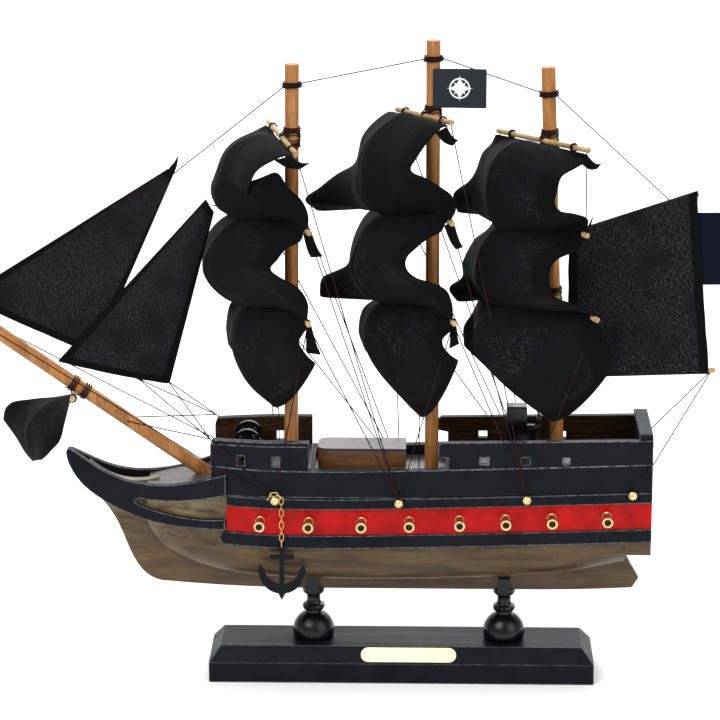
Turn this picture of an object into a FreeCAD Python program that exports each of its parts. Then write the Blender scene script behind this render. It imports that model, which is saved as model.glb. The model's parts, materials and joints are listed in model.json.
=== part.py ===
import FreeCAD, Part
import math
import os

from FreeCAD import Vector

# Three-masted wooden model ship on a stand, millimetres.
# +X runs aft, -Y is the port side, +Z is up; the origin is the centre of the stand's underside.

os.makedirs("parts", exist_ok=True)

# ---------------------------------------------------------------- stand
BASE_LENGTH = 178.0
BASE_DEPTH = 38.0
BASE_HEIGHT = 16.2
BASE_EDGE_HEIGHT = 9.4          # height of the upright edge below the chamfer
BASE_CHAMFER = 5.4              # run of the chamfer along the plan
POST_X = (-41.0, 47.6)
POST_BALL_RADIUS = 9.7
POST_BALL_Z = 19.6
POST_SEAT_Z = 40.6              # the keel rests here, in the slot
POST_TOP_Z = 46.4
SLOT_WIDTH = 5.4
SCREW_SHANK_RADIUS = 1.6
PLATE_LENGTH = 44.0
PLATE_WIDTH = 7.0
PLATE_THICKNESS = 0.6

# ---------------------------------------------------------------- hull
HALF_BEAM = 24.0                # outside the planks, amidships
BOW_TAPER_X = -60.0             # ahead of this the sides draw together
BOW_TAPER_LENGTH = 98.0
BOW_X = -117.0                  # front of the carved hull block
STERN_X = 113.5
UPPER_FRONT_X = -87.0           # front of the upper hull tier
KEEL_THICKNESS = 5.0
BODY_INSET = 2.2                # planks stand this far off the carved hull
BODY_TOP_Z = 91.0
DECK_Z = 103.2                  # top of the upper tier at its lowest point
WELL_FLOOR_Z = 99.4
WELL_FRONT_X = -40.0
WELL_BACK_X = 20.0
WELL_HALF_WIDTH = 18.8
SHEER_LOW_X = -35.0
SHEER_RISE = 4.3                # rise of every plank line from the low point to the stern
GUN_BAND_Z = (73.0, 85.4)
LOWER_WALE_Z = (66.9, 72.9)
MOULDING_Z = (85.5, 90.2)
BULWARK_THICKNESS = 3.2
BULWARK_TOP_Z = 116.6
FORE_BULWARK_X = (-87.0, -42.0)
AFT_BULWARK_X = (16.5, STERN_X)
TRANSOM_THICKNESS = 6.3
TRANSOM_Z = (78.0, 121.4)
COUNTER_Z = 64.2
PLANK_SHEET = 0.7               # thickness of the deck planking

# ---------------------------------------------------------------- spars
MAST_RADIUS = 3.175
MAST_STEP_Z = 84.0              # the masts are glued this deep into the hull
YARD_RADIUS = 1.2
YARD_OFFSET = MAST_RADIUS + YARD_RADIUS
MASTS = {
    "fore": {"foot_x": -51.1, "lean": 0.0075, "top": 286.0},
    "main": {"foot_x": 13.5, "lean": -0.0015, "top": 296.8},
    "mizzen": {"foot_x": 71.2, "lean": -0.0375, "top": 285.0},
}
# height, brace angle, tilt and length of each yard, from the top down
YARDS = {
    "fore": [(252.7, 14.7, -3.6, 60.0), (215.9, 24.0, 0.0, 66.0), (175.1, 21.8, 0.0, 72.0)],
    "main": [(263.0, 24.2, 4.0, 60.0), (220.6, 22.8, 0.0, 66.0), (175.9, 22.9, 0.0, 72.0)],
    "mizzen": [(252.3, 40.4, 0.0, 60.0), (215.0, 33.7, 0.0, 66.0), (180.0, 44.0, -8.0, 64.0)],
}
BOWSPRIT_HEEL = (-84.0, 91.5)
BOWSPRIT_TIP = (-205.0, 176.2)
SPRIT_YARD = {"centre": (-150.6, 0.0, 132.4), "brace": 5.0, "tilt": 11.0, "length": 50.0}
GAFF_ENDS = ((70.9, 207.1), (132.6, 227.8))
BOOM_ENDS = ((73.0, 143.6), (142.2, 145.9))

# ---------------------------------------------------------------- cloth
CLOTH = 0.8
SAIL_SHARE = 0.9                # of the yard's length
SAIL_GAP = 2.2                  # between a yard's axis and the edge of a sail
# depth of each belly, from the top sail down; foot height of each lower sail
SAIL_DEPTHS = {"fore": (20.0, 23.5, 21.0), "main": (22.0, 25.0, 22.0), "mizzen": (20.0, 16.5, 17.0)}
SAIL_FOOT_Z = {"fore": 128.0, "main": 123.0, "mizzen": 131.0}
SAIL_FOOT_HALF = 8.0
CLEW_DROP = 20.0                # the leeches of a lower sail start to draw in this far down
OUTER_JIB = [(-200.3, 177.9), (-104.0, 237.4), (-140.6, 151.0)]
OUTER_JIB_Y = 1.0               # it hangs just to starboard of the inner jib, which it overlaps
INNER_JIB = [(-89.0, 224.2), (-157.8, 148.4), (-106.5, 138.0), (-85.4, 219.0)]
SPANKER = [(75.5, 146.4), (75.0, 206.0), (132.0, 225.2), (138.8, 148.6)]

# ---------------------------------------------------------------- fittings
CANNON_X = (-64.3, -42.2, -18.2, 3.5, 26.3, 47.2, 68.1, 93.0)
CANNON_REACH = 10.4
CANNON_RADIUS = 1.85
MUZZLE_RADIUS = 2.4
BORE_RADIUS = 1.6
PIN_PLACES = ((-57.5, 90.3), (-1.3, 89.4), (56.7, 91.4), (104.4, 94.0))
PIN_RADIUS = 0.6
PIN_HEAD_RADIUS = 2.0
CHAIN_LINKS = 8
CHAIN_WIRE = 0.22
CHAIN_LOOP_RADIUS = 3.0         # of the links laid round the nail
CHAIN_LOOP_ANGLES = (146.0, 95.5, 45.0)
CHAIN_STANDOFF = 2.0            # from the hull's skin to the middle of the chain
CHAIN_DROP = 0.0                # from the nail's height to the first hanging link
LINK_HALF_WIDTH = 0.85
LINK_STRAIGHT = 0.95
LINK_PITCH = 2.9
ANCHOR_THICKNESS = 1.8
ANCHOR_LENGTH = 19.6
HATCH_X = (-38.6, 1.8)
HATCH_HALF_WIDTH = 9.2
HATCH_TOP_Z = 110.2
HATCH_LID = 1.2
WINDLASS_CENTRE = (-70.8, 0.0, 112.4)
WINDLASS_HALF = 7.0             # from the middle to each end disc
WHEEL_STAND_X = (47.6, 57.0)
WHEEL_STAND_TOP_Z = 129.0
WHEEL_X = 62.4
WHEEL_Z = 117.6
WHEEL_RADIUS = 8.0              # to the tips of the spokes

# ---------------------------------------------------------------- cordage
THREAD_RADIUS = 0.26
WRAP_CLEARANCE = 0.03
KNOT_RADIUS = 1.35
STAY_LASH = {"fore": 276.4, "main": 288.4, "mizzen": 272.8}
SHEET_BEND = (-119.7, 139.0)    # (x, z) where the outer jib's sheets pass under the inner jib
RAIL_CORNER = (-86.8, 117.6)    # the head sheets bend over the bulwark's front corner
BOW_CORNER = (-87.6, 106.0)
RAIL_Z = 119.2                  # the lowest yards' threads pass the bulwarks at this height
STERN_CORNER = (114.0, 109.0)


def save(name, *solids):
    """Write one node; several separate solids share it as a compound."""
    shape = solids[0] if len(solids) == 1 else Part.makeCompound(list(solids))
    shape.exportStep("parts/" + name + ".step")


def box(x0, x1, y0, y1, z0, z1):
    return Part.makeBox(x1 - x0, y1 - y0, z1 - z0, Vector(x0, y0, z0))


def rod(start, end, radius):
    start, end = Vector(*start), Vector(*end)
    return Part.makeCylinder(radius, (end - start).Length, start, end - start)


def ball(centre, radius):
    return Part.makeSphere(radius, Vector(*centre))


def turned(profile):
    """Solid of revolution about Z from (radius, height) points, closed on the axis."""
    points = [Vector(0, 0, profile[0][1])]
    points += [Vector(radius, 0, height) for radius, height in profile]
    points += [Vector(0, 0, profile[-1][1]), points[0]]
    return Part.Face(Part.makePolygon(points)).revolve(Vector(0, 0, 0), Vector(0, 0, 1), 360)


def plate(outline, y0, y1):
    """Flat piece cut to an (x, z) outline of straight lines, between two Y planes."""
    points = [Vector(x, y0, z) for x, z in outline]
    face = Part.Face(Part.makePolygon(points + [points[0]]))
    return face.extrude(Vector(0, y1 - y0, 0))


def spline_edge(points):
    curve = Part.BSplineCurve()
    curve.interpolate([Vector(*point) for point in points])
    return curve.toShape()


def curved_plate(runs, y0, y1):
    """Flat piece whose (x, z) outline is a ring of runs: two points a line, more a curve."""
    edges = []
    for run in runs:
        points = [(x, y0, z) for x, z in run]
        if len(points) == 2:
            edges.append(Part.LineSegment(Vector(*points[0]), Vector(*points[1])).toShape())
        else:
            edges.append(spline_edge(points))
    return Part.Face(Part.Wire(edges)).extrude(Vector(0, y1 - y0, 0))


def mirrored(shape):
    return shape.mirror(Vector(0, 0, 0), Vector(0, 1, 0))


def half_beam(x):
    """Distance from the centre plane to the outside of the planks."""
    ahead = max(0.0, BOW_TAPER_X - x)
    return HALF_BEAM * (1.0 - (ahead / BOW_TAPER_LENGTH) ** 1.35)


def sheer(x):
    """Rise of the plank lines towards the ends of the ship."""
    if x < SHEER_LOW_X:
        return 1.2 * ((SHEER_LOW_X - x) / 52.0) ** 2
    return SHEER_RISE * ((x - SHEER_LOW_X) / (STERN_X - SHEER_LOW_X)) ** 1.3


def stations(x0, x1, count):
    return [x0 + (x1 - x0) * i / (count - 1) for i in range(count)]


def side_strip(x0, x1, outer, inner):
    """Port strip between two offsets inward from the plank line, seen in plan."""
    start = min(x0, BOW_X)
    lines = []
    for offset in (outer, inner):
        bow = [(x, -(half_beam(x) - offset), 0.0) for x in stations(start, BOW_TAPER_X, 9)]
        lines.append([bow, [bow[-1], (STERN_X, bow[-1][1], 0.0)]])
    wire = [segment(run) for run in lines[0]]
    wire.append(segment([lines[0][1][1], lines[1][1][1]]))
    wire += [segment(run[::-1]) for run in reversed(lines[1])]
    wire.append(segment([lines[1][0][0], lines[0][0][0]]))
    strip = Part.Face(Part.Wire(wire)).extrude(Vector(0, 0, 200.0))
    return strip.common(box(x0, x1, -60.0, 0.0, 0.0, 200.0))


def segment(points):
    if len(points) == 2:
        return Part.LineSegment(Vector(*points[0]), Vector(*points[1])).toShape()
    return spline_edge(points)


def sheer_band(x0, x1, low, high, front_bulge=0.0):
    """Band between two heights that follow the sheer; its front end may be rounded."""
    top = [(x, high + sheer(x)) for x in stations(x0, x1, 9)]
    bottom = [(x, low + sheer(x)) for x in stations(x1, x0, 9)]
    front = [bottom[-1], top[0]]
    if front_bulge:
        middle = (x0 - front_bulge, (bottom[-1][1] + top[0][1]) / 2)
        front = [bottom[-1], middle, top[0]]
    return curved_plate([top, [top[-1], bottom[0]], bottom, front], -60.0, 60.0)


# ================================================================= stand
def stand_base():
    edge = box(-BASE_LENGTH / 2, BASE_LENGTH / 2, -BASE_DEPTH / 2, BASE_DEPTH / 2, 0, BASE_EDGE_HEIGHT)
    wires = []
    for inset, height in ((0.0, BASE_EDGE_HEIGHT), (BASE_CHAMFER, BASE_HEIGHT)):
        x, y = BASE_LENGTH / 2 - inset, BASE_DEPTH / 2 - inset
        corners = [Vector(-x, -y, height), Vector(x, -y, height), Vector(x, y, height), Vector(-x, y, height)]
        wires.append(Part.makePolygon(corners + [corners[0]]))
    top = Part.makeLoft(wires, True, True)
    base = edge.fuse(top).removeSplitter()
    upright = [e for e in base.Edges if abs(e.Vertexes[0].Z - e.Vertexes[1].Z) > BASE_EDGE_HEIGHT - 0.1
               and abs(e.Vertexes[0].X - e.Vertexes[1].X) < 0.01]
    base = base.makeFillet(1.2, upright)
    for x in POST_X:
        base = base.cut(screw(x))
    return base


def screw(x):
    """Countersunk screw from below, up into a post."""
    head = [(0.01, 0.6), (3.2, 0.6), (SCREW_SHANK_RADIUS, 3.0), (SCREW_SHANK_RADIUS, 28.0), (0.6, 30.0)]
    shape = turned(head)
    shape.translate(Vector(x, 0, 0))
    return shape


def screw_well(x):
    return rod((x, 0, -0.1), (x, 0, 0.6), 3.2)


def stand_post(x):
    """Turned post: ball, ring, neck, cup and two cheeks that stand either side of the keel."""
    body = ball((0, 0, POST_BALL_Z), POST_BALL_RADIUS)
    body = body.common(box(-12, 12, -12, 12, BASE_HEIGHT, POST_BALL_Z + 9.2))
    upper = turned([
        (3.9, 27.0), (3.9, 29.6), (4.9, 30.1), (5.3, 31.2), (4.9, 32.4), (3.7, 32.9), (3.15, 34.2),
        (3.15, 36.0), (3.6, 37.2), (4.8, 38.2), (5.1, 39.2), (4.9, 40.2), (2.75, 41.2), (2.65, POST_TOP_Z),
    ])
    cheeks = box(-2.7, 2.7, -5.2, 5.2, POST_SEAT_Z, POST_TOP_Z)
    cup = Part.makeCylinder(5.2, 1.6, Vector(0, 0, POST_SEAT_Z - 1.4))
    body = body.fuse(upper).fuse(cheeks).fuse(cup)
    body = body.cut(box(-6, 6, -SLOT_WIDTH / 2, SLOT_WIDTH / 2, POST_SEAT_Z, POST_TOP_Z + 1))
    body.translate(Vector(x, 0, 0))
    return body.cut(screw(x))


def nameplate():
    """Blank stadium-shaped plate lying on the front chamfer."""
    radius = PLATE_WIDTH / 2
    bar = Part.makeBox(PLATE_LENGTH - PLATE_WIDTH, PLATE_WIDTH, PLATE_THICKNESS,
                       Vector(-(PLATE_LENGTH - PLATE_WIDTH) / 2, -radius, 0))
    plate_shape = bar
    for side in (-1, 1):
        x = side * (PLATE_LENGTH - PLATE_WIDTH) / 2
        plate_shape = plate_shape.fuse(Part.makeCylinder(radius, PLATE_THICKNESS, Vector(x, 0, 0)))
    plate_shape = plate_shape.removeSplitter()
    slope = math.degrees(math.atan2(BASE_HEIGHT - BASE_EDGE_HEIGHT, BASE_CHAMFER))
    plate_shape.rotate(Vector(0, 0, 0), Vector(1, 0, 0), slope)
    y = -(BASE_DEPTH - BASE_CHAMFER) / 2
    plate_shape.translate(Vector(3.4, y, (BASE_HEIGHT + BASE_EDGE_HEIGHT) / 2))
    return plate_shape


# ================================================================= hull
def hull_section(x, bottom, flat, bilge):
    """Closed cross-section at x: flat bottom, round bilge, upright side."""
    side = half_beam(x) - BODY_INSET + 0.4
    flat = min(flat, side * 0.6)
    curve = [
        (x, flat, bottom),
        (x, flat + (side - flat) * 0.62, bottom + bilge * 0.2),
        (x, side - 0.4, bottom + bilge * 0.72),
        (x, side, bottom + bilge),
    ]
    other = [(px, -py, pz) for px, py, pz in reversed(curve)]
    top_right, top_left = (x, side, BODY_TOP_Z), (x, -side, BODY_TOP_Z)
    return Part.Wire([
        segment([other[-1], curve[0]]), segment(curve), segment([curve[-1], top_right]),
        segment([top_right, top_left]), segment([top_left, other[0]]), segment(other),
    ])


def hull_block():
    """Carved hull: a loft for the bilges, trimmed to the plan for its upright sides."""
    # station, height of the bottom, half width of the flat, height of the bilge curve
    lines = [
        (BOW_X, 71.0, 2.6, 12.0), (-112.0, 62.0, 2.8, 18.0), (-103.0, 56.0, 3.2, 22.0),
        (-90.0, 51.8, 5.0, 23.0), (-70.0, 49.2, 7.0, 22.0), (-30.0, 48.0, 9.0, 20.0),
        (20.0, 48.6, 9.0, 20.0), (62.0, 50.6, 8.0, 20.0), (88.0, 53.4, 6.0, 20.0), (102.0, 56.0, 4.5, 20.0),
    ]
    block = Part.makeLoft([hull_section(*line) for line in lines], True, False)
    counter = box(102.0, STERN_X, -HALF_BEAM, HALF_BEAM, COUNTER_Z, BODY_TOP_Z)
    block = block.fuse(counter).common(tier_plan(BOW_X, STERN_X, BODY_INSET))
    return block.cut(transom_block()).removeSplitter()


def keel_board():
    """Centre board: keel below the hull, stem ahead of it, up between the head rails."""
    outline = curved_plate([
        [(-144.0, 101.5), (-144.6, 92.0), (-137.5, 82.0), (-131.5, 72.6), (-126.0, 59.0), (-118.6, 47.4),
         (-111.0, 43.8)],
        [(-111.0, 43.8), (-75.0, 41.4), (-48.0, POST_SEAT_Z)],
        [(-48.0, POST_SEAT_Z), (54.6, POST_SEAT_Z)],
        [(54.6, POST_SEAT_Z), (82.0, 40.9), (106.6, 42.0)],
        [(106.6, 42.0), (109.6, 46.8)],
        [(109.6, 46.8), (105.4, 54.0)],
        [(105.4, 54.0), (102.5, 60.0)],
        [(102.5, 60.0), (-100.0, 60.0)],
        [(-100.0, 60.0), (-112.0, 94.0)],
        [(-112.0, 94.0), (-128.0, 92.8), (-144.0, 101.5)],
    ], -KEEL_THICKNESS / 2, KEEL_THICKNESS / 2)
    return outline


def head_rail():
    """Forked rail: from the tip of the beak an upper and a lower arm run back to the hull."""
    outline = curved_plate([
        [(-154.6, 104.2), (-154.0, 106.8), (-151.6, 106.6)],
        [(-151.6, 106.6), (-144.1, 102.2), (-136.3, 98.0), (-125.8, 94.6), (-116.9, 93.7), (-107.1, 94.1),
         (-94.5, 96.6), (-80.0, 101.0)],
        [(-80.0, 101.0), (-80.0, 91.4)],
        [(-80.0, 91.4), (-95.1, 88.0), (-108.0, 86.6), (-120.5, 86.8)],
        [(-120.5, 86.8), (-122.6, 85.6), (-120.0, 83.4)],
        [(-120.0, 83.4), (-112.9, 81.4), (-105.2, 79.9), (-80.6, 79.7)],
        [(-80.6, 79.7), (-80.6, 74.9)],
        [(-80.6, 74.9), (-95.0, 74.8), (-110.0, 75.6), (-124.0, 78.8), (-136.0, 83.6), (-146.1, 90.0),
         (-151.9, 97.0), (-154.6, 104.2)],
    ], -60.0, 0.0)
    rail = outline.common(side_strip(-157.0, -80.0, -0.8, BODY_INSET - 0.2))
    return rail.cut(upper_tier_volume())


def beak_deck():
    """Sloping deck inside the head rails, ahead of the upper tier."""
    wedge = plate([(BOW_X, BODY_TOP_Z), (BOW_X, 92.4), (UPPER_FRONT_X, 96.4), (UPPER_FRONT_X, BODY_TOP_Z)],
                  -30.0, 30.0)
    return wedge.common(tier_plan(BOW_X, UPPER_FRONT_X, BODY_INSET))


def tier_plan(x0, x1, inset):
    """Whole plan of the hull between two stations, inset from the plank line."""
    port = [(x, -(half_beam(x) - inset), 0.0) for x in stations(BOW_X, BOW_TAPER_X, 9)]
    port_side = [port[-1], (STERN_X, port[-1][1], 0.0)]
    runs = [port, port_side]
    for run in (port_side, port):
        runs.append([(x, -y, z) for x, y, z in reversed(run)])
    wire = [segment(run) for run in runs]
    wire.insert(2, segment([runs[1][-1], runs[2][0]]))
    wire.append(segment([runs[3][-1], runs[0][0]]))
    plan = Part.Face(Part.Wire(wire)).extrude(Vector(0, 0, 200.0))
    return plan.common(box(x0, x1, -60.0, 60.0, 0.0, 200.0))


def upper_tier_volume():
    top = [(x, DECK_Z + sheer(x)) for x in stations(UPPER_FRONT_X, STERN_X, 9)]
    band = curved_plate([
        top, [top[-1], (STERN_X, BODY_TOP_Z)], [(STERN_X, BODY_TOP_Z), (UPPER_FRONT_X, BODY_TOP_Z)],
        [(UPPER_FRONT_X, BODY_TOP_Z), top[0]],
    ], -60.0, 60.0)
    return band.common(tier_plan(UPPER_FRONT_X, STERN_X, 1.0))


def upper_tier():
    """Black upper hull with the waist well sunk in it."""
    well = box(WELL_FRONT_X, WELL_BACK_X, -WELL_HALF_WIDTH, WELL_HALF_WIDTH, WELL_FLOOR_Z - PLANK_SHEET, 120.0)
    upright = [e for e in well.Edges if abs(e.Vertexes[0].Z - e.Vertexes[1].Z) > 1.0]
    return upper_tier_volume().cut(well.makeFillet(6.0, upright)).cut(transom_block())


def well_deck():
    deck = box(WELL_FRONT_X, WELL_BACK_X, -WELL_HALF_WIDTH, WELL_HALF_WIDTH, WELL_FLOOR_Z - PLANK_SHEET,
               WELL_FLOOR_Z)
    upright = [e for e in deck.Edges if abs(e.Vertexes[0].Z - e.Vertexes[1].Z) > 0.5]
    return deck.makeFillet(6.0, upright)


def deck_sheet(x0, x1):
    """Thin planked sheet inside the bulwarks; it reaches into the tier that it's then cut by."""
    band = sheer_band(x0, x1, DECK_Z - 1.0, DECK_Z + PLANK_SHEET)
    return band.common(tier_plan(x0, x1, 1.0 + BULWARK_THICKNESS + 0.1))


def planks(low, high, x0, x1, outer, front_bulge=0.0):
    """Port plank line glued to the carved hull."""
    return sheer_band(x0, x1, low, high, front_bulge).common(
        side_strip(x0 - front_bulge, x1, outer, BODY_INSET))


def port_opening(x, z, width=3.4, height=4.6):
    return box(x - width / 2, x + width / 2, -40.0, 40.0, z - height / 2, z + height / 2)


def fore_bulwark():
    x0, x1 = FORE_BULWARK_X
    low = [(x, DECK_Z - 1.0 + sheer(x)) for x in stations(x1, x0, 5)]
    wall = curved_plate([
        low, [low[-1], (x0, BULWARK_TOP_Z - 2.4)], [(x0, BULWARK_TOP_Z - 2.4), (x0 + 0.8, BULWARK_TOP_Z)],
        [(x0 + 0.8, BULWARK_TOP_Z), (x1, BULWARK_TOP_Z)], [(x1, BULWARK_TOP_Z), low[0]],
    ], -60.0, 0.0)
    wall = wall.common(side_strip(x0, x1, 1.0, 1.0 + BULWARK_THICKNESS))
    cap = box(x0 + 1.0, x1, -60.0, 0.0, BULWARK_TOP_Z - 1.6, BULWARK_TOP_Z + 0.5)
    cap = cap.common(side_strip(x0 + 1.0, x1, 0.3, 1.0 + BULWARK_THICKNESS))
    wall = wall.fuse(cap)
    for x in (-73.0, -57.0):
        wall = wall.cut(port_opening(x, 107.8))
    return wall.removeSplitter()


def aft_bulwark():
    x0, x1 = AFT_BULWARK_X
    step = x0 + 4.6
    low = [(x, DECK_Z - 1.0 + sheer(x)) for x in stations(x1, step, 7)]
    top_end = (x1, BULWARK_TOP_Z + 2.2)
    top_start = (x0 + 1.4, BULWARK_TOP_Z + 0.6)
    wall = curved_plate([
        low, [low[-1], (step, 110.0)], [(step, 110.0), (x0, 110.9)], [(x0, 110.9), (x0, BULWARK_TOP_Z - 0.8)],
        [(x0, BULWARK_TOP_Z - 0.8), top_start], [top_start, top_end], [top_end, low[0]],
    ], -60.0, 0.0)
    wall = wall.common(side_strip(x0, x1, 1.0, 1.0 + BULWARK_THICKNESS))
    for x in (37.4, 56.0, 74.4):
        wall = wall.cut(port_opening(x, 108.9, 4.0 if x < 70 else 3.2, 3.4))
    return wall.cut(transom_block())


def transom_block():
    side = HALF_BEAM - BODY_INSET
    return box(STERN_X - TRANSOM_THICKNESS, STERN_X, -side, side, *TRANSOM_Z)


def transom():
    """Thick board across the stern, from the counter up to just above the bulwarks."""
    board = transom_block()
    top = [e for e in board.Edges if e.BoundBox.ZMin > TRANSOM_Z[1] - 0.1]
    return board.makeFillet(0.7, top)


def hatch_slab(z0, z1):
    """Slab of the hatch's plan, rounded at its front corners."""
    slab = box(*HATCH_X, -HATCH_HALF_WIDTH, HATCH_HALF_WIDTH, z0, z1)
    front = [e for e in slab.Edges if e.BoundBox.ZLength > 0.5 and e.BoundBox.XMax < HATCH_X[0] + 0.1]
    return slab.makeFillet(5.0, front)


def windlass_drum():
    x, y, z = WINDLASS_CENTRE
    drum = rod((x, y - 8.6, z), (x, y + 8.6, z), 1.5)
    drum = drum.fuse(rod((x, y - WINDLASS_HALF, z), (x, y + WINDLASS_HALF, z), 4.0))
    for side in (-1, 1):
        face = y + side * WINDLASS_HALF
        disc = rod((x, face - 0.9, z), (x, face + 0.9, z), 6.2)
        for turn in range(4):
            angle = math.radians(45 + 90 * turn)
            hole = (x + 4.1 * math.cos(angle), z + 4.1 * math.sin(angle))
            disc = disc.cut(rod((hole[0], face - 2, hole[1]), (hole[0], face + 2, hole[1]), 0.7))
        drum = drum.fuse(disc)
    return drum


def windlass_posts():
    x, y, z = WINDLASS_CENTRE
    posts = []
    for side in (-1, 1):
        inner = y + side * 8.3
        outer = y + side * 10.3
        post = box(x - 2.8, x + 2.8, min(inner, outer), max(inner, outer), DECK_Z, z + 2.9)
        posts.append(post.cut(rod((x, y - 12, z), (x, y + 12, z), 1.65)))
    return posts


def wheel_stand():
    """Companion box with the wheel's pedestal and bearing behind it."""
    front, back = WHEEL_STAND_X
    floor = DECK_Z
    housing = box(front, back, -4.2, 4.2, floor, WHEEL_STAND_TOP_Z)
    top = [e for e in housing.Edges if e.BoundBox.ZMin > WHEEL_STAND_TOP_Z - 0.1]
    housing = housing.makeFillet(0.8, top)
    bearing = rod((back, 0, WHEEL_Z), (back + 3.6, 0, WHEEL_Z), 2.2)
    pedestal = box(back, back + 3.6, -1.8, 1.8, floor, WHEEL_Z)
    stand = housing.fuse(bearing).fuse(pedestal)
    return stand.cut(rod((back - 0.6, 0, WHEEL_Z), (back + 5.0, 0, WHEEL_Z), 0.95)).removeSplitter()


def ships_wheel():
    """Eight-spoked steering wheel on a short axle."""
    wheel = Part.makeTorus(5.2, 0.75, Vector(WHEEL_X, 0, WHEEL_Z), Vector(1, 0, 0))
    wheel = wheel.fuse(rod((WHEEL_X - 1.0, 0, WHEEL_Z), (WHEEL_X + 1.0, 0, WHEEL_Z), 1.5))
    wheel = wheel.fuse(rod((WHEEL_STAND_X[1] + 0.4, 0, WHEEL_Z), (WHEEL_X, 0, WHEEL_Z), 0.8))
    for turn in range(8):
        angle = math.radians(22.5 + 45 * turn)
        tip = (WHEEL_X, WHEEL_RADIUS * math.cos(angle), WHEEL_Z + WHEEL_RADIUS * math.sin(angle))
        wheel = wheel.fuse(rod((WHEEL_X, 0, WHEEL_Z), tip, 0.45))
        wheel = wheel.fuse(ball(tip, 0.75))
    return wheel


# ================================================================= fittings
def cannon(x, side):
    """Turned brass barrel with a muzzle ring, a bore and a peg into the hull."""
    z = (GUN_BAND_Z[0] + GUN_BAND_Z[1]) / 2 + sheer(x) + 0.6
    skin = HALF_BEAM - BODY_INSET + 1.2
    barrel = turned([
        (1.2, -5.0), (1.2, 0.0), (2.2, 0.0), (2.2, 1.2), (CANNON_RADIUS, 1.6), (CANNON_RADIUS, 7.6),
        (2.1, 8.6), (MUZZLE_RADIUS, 9.2), (MUZZLE_RADIUS, CANNON_REACH),
    ])
    barrel = barrel.cut(Part.makeCylinder(BORE_RADIUS, 6.0, Vector(0, 0, CANNON_REACH - 5.0)))
    barrel.rotate(Vector(0, 0, 0), Vector(1, 0, 0), 90 if side < 0 else -90)
    barrel.translate(Vector(x, side * skin, z))
    return barrel


def hull_skin(x):
    return half_beam(x) - 0.2


def pin(x, z, side):
    """Round-headed brass nail that the rigging is made fast to."""
    profile = turned([(PIN_RADIUS, -5.0), (PIN_RADIUS, 2.4), (PIN_HEAD_RADIUS, 2.5), (1.85, 3.1), (1.2, 3.6)])
    profile.rotate(Vector(0, 0, 0), Vector(1, 0, 0), 90 if side < 0 else -90)
    profile.translate(Vector(x, side * hull_skin(x), z))
    return profile


def chain_link(centre, lean, twist):
    """Oval chain link: two half rings joined by straight sides.

    lean turns its long way in the fore-and-aft plane, twist turns it about that long way.
    """
    ring = Part.makeTorus(LINK_HALF_WIDTH, CHAIN_WIRE, Vector(0, 0, 0), Vector(0, 1, 0))
    top = ring.common(box(-5, 5, -5, 5, 0, 5))
    bottom = ring.common(box(-5, 5, -5, 5, -5, 0))
    top.translate(Vector(0, 0, LINK_STRAIGHT))
    bottom.translate(Vector(0, 0, -LINK_STRAIGHT))
    link = top.fuse(bottom)
    for x in (-LINK_HALF_WIDTH, LINK_HALF_WIDTH):
        link = link.fuse(rod((x, 0, -LINK_STRAIGHT), (x, 0, LINK_STRAIGHT), CHAIN_WIRE))
    link = link.removeSplitter()
    link.rotate(Vector(0, 0, 0), Vector(0, 0, 1), twist)
    link.rotate(Vector(0, 0, 0), Vector(0, 1, 0), lean)
    link.translate(Vector(*centre))
    return link


def chain_place():
    """Where the hanging chain leaves the nail: beside the shank, clear of the threads."""
    x, z = PIN_PLACES[0]
    return x + CHAIN_LOOP_RADIUS, -(hull_skin(x) + CHAIN_STANDOFF), z


def chain_loop():
    """Links laid over the top of the fore nail."""
    x, z = PIN_PLACES[0]
    y = chain_place()[1]
    links = []
    for i, angle in enumerate(CHAIN_LOOP_ANGLES):
        place = (x + CHAIN_LOOP_RADIUS * math.cos(math.radians(angle)), y,
                 z + CHAIN_LOOP_RADIUS * math.sin(math.radians(angle)))
        links.append(chain_link(place, -angle, 0.0 if i % 2 else 90.0))
    return links


def anchor_chain():
    """Links hanging outboard of the gun band, down to the anchor's ring."""
    x, y, z = chain_place()
    return [chain_link((x, y, z - CHAIN_DROP - LINK_PITCH * i), 0.0, 90.0 if i % 2 else 0.0)
            for i in range(CHAIN_LINKS)]


def anchor():
    """Admiralty pattern anchor: ring, stock, shank, curved arms with pointed palms."""
    x, y, z = chain_place()
    ring_z = z - CHAIN_DROP - LINK_PITCH * (CHAIN_LINKS - 1) - 2.3
    top = ring_z - 1.2
    front, back = y - ANCHOR_THICKNESS / 2, y + ANCHOR_THICKNESS / 2
    foot = top - ANCHOR_LENGTH
    shank = plate([(x - 1.3, foot), (x - 1.0, top), (x + 1.0, top), (x + 1.3, foot)], front, back)
    stock = plate([(x - 5.6, top - 4.0), (x - 5.6, top - 2.2), (x + 5.6, top - 2.2), (x + 5.6, top - 4.0)],
                  front, back)
    ring = Part.makeTorus(1.35, 0.45, Vector(x, y, ring_z), Vector(0, 1, 0))
    arms = Part.makeCylinder(10.4, ANCHOR_THICKNESS, Vector(x, front, foot + 9.6), Vector(0, 1, 0))
    arms = arms.cut(Part.makeCylinder(7.9, ANCHOR_THICKNESS, Vector(x, front, foot + 11.2), Vector(0, 1, 0)))
    arms = arms.common(box(x - 12, x + 12, front, back, foot - 5, foot + 10.4))
    point = plate([(x - 1.8, foot - 0.2), (x, foot - 4.0), (x + 1.8, foot - 0.2)], front, back)
    shape = shank.fuse(stock).fuse(ring).fuse(arms).fuse(point)
    for side in (-1, 1):
        tip = x + side * 9.3
        palm = [(tip - 1.9, foot + 8.8), (tip + side * 0.9, foot + 13.6), (tip + 1.9, foot + 8.8)]
        shape = shape.fuse(plate(palm, front, back))
    return shape.removeSplitter()


# ================================================================= spars
def mast_x(name, z):
    mast = MASTS[name]
    return mast["foot_x"] + mast["lean"] * (z - 100.0)


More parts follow.
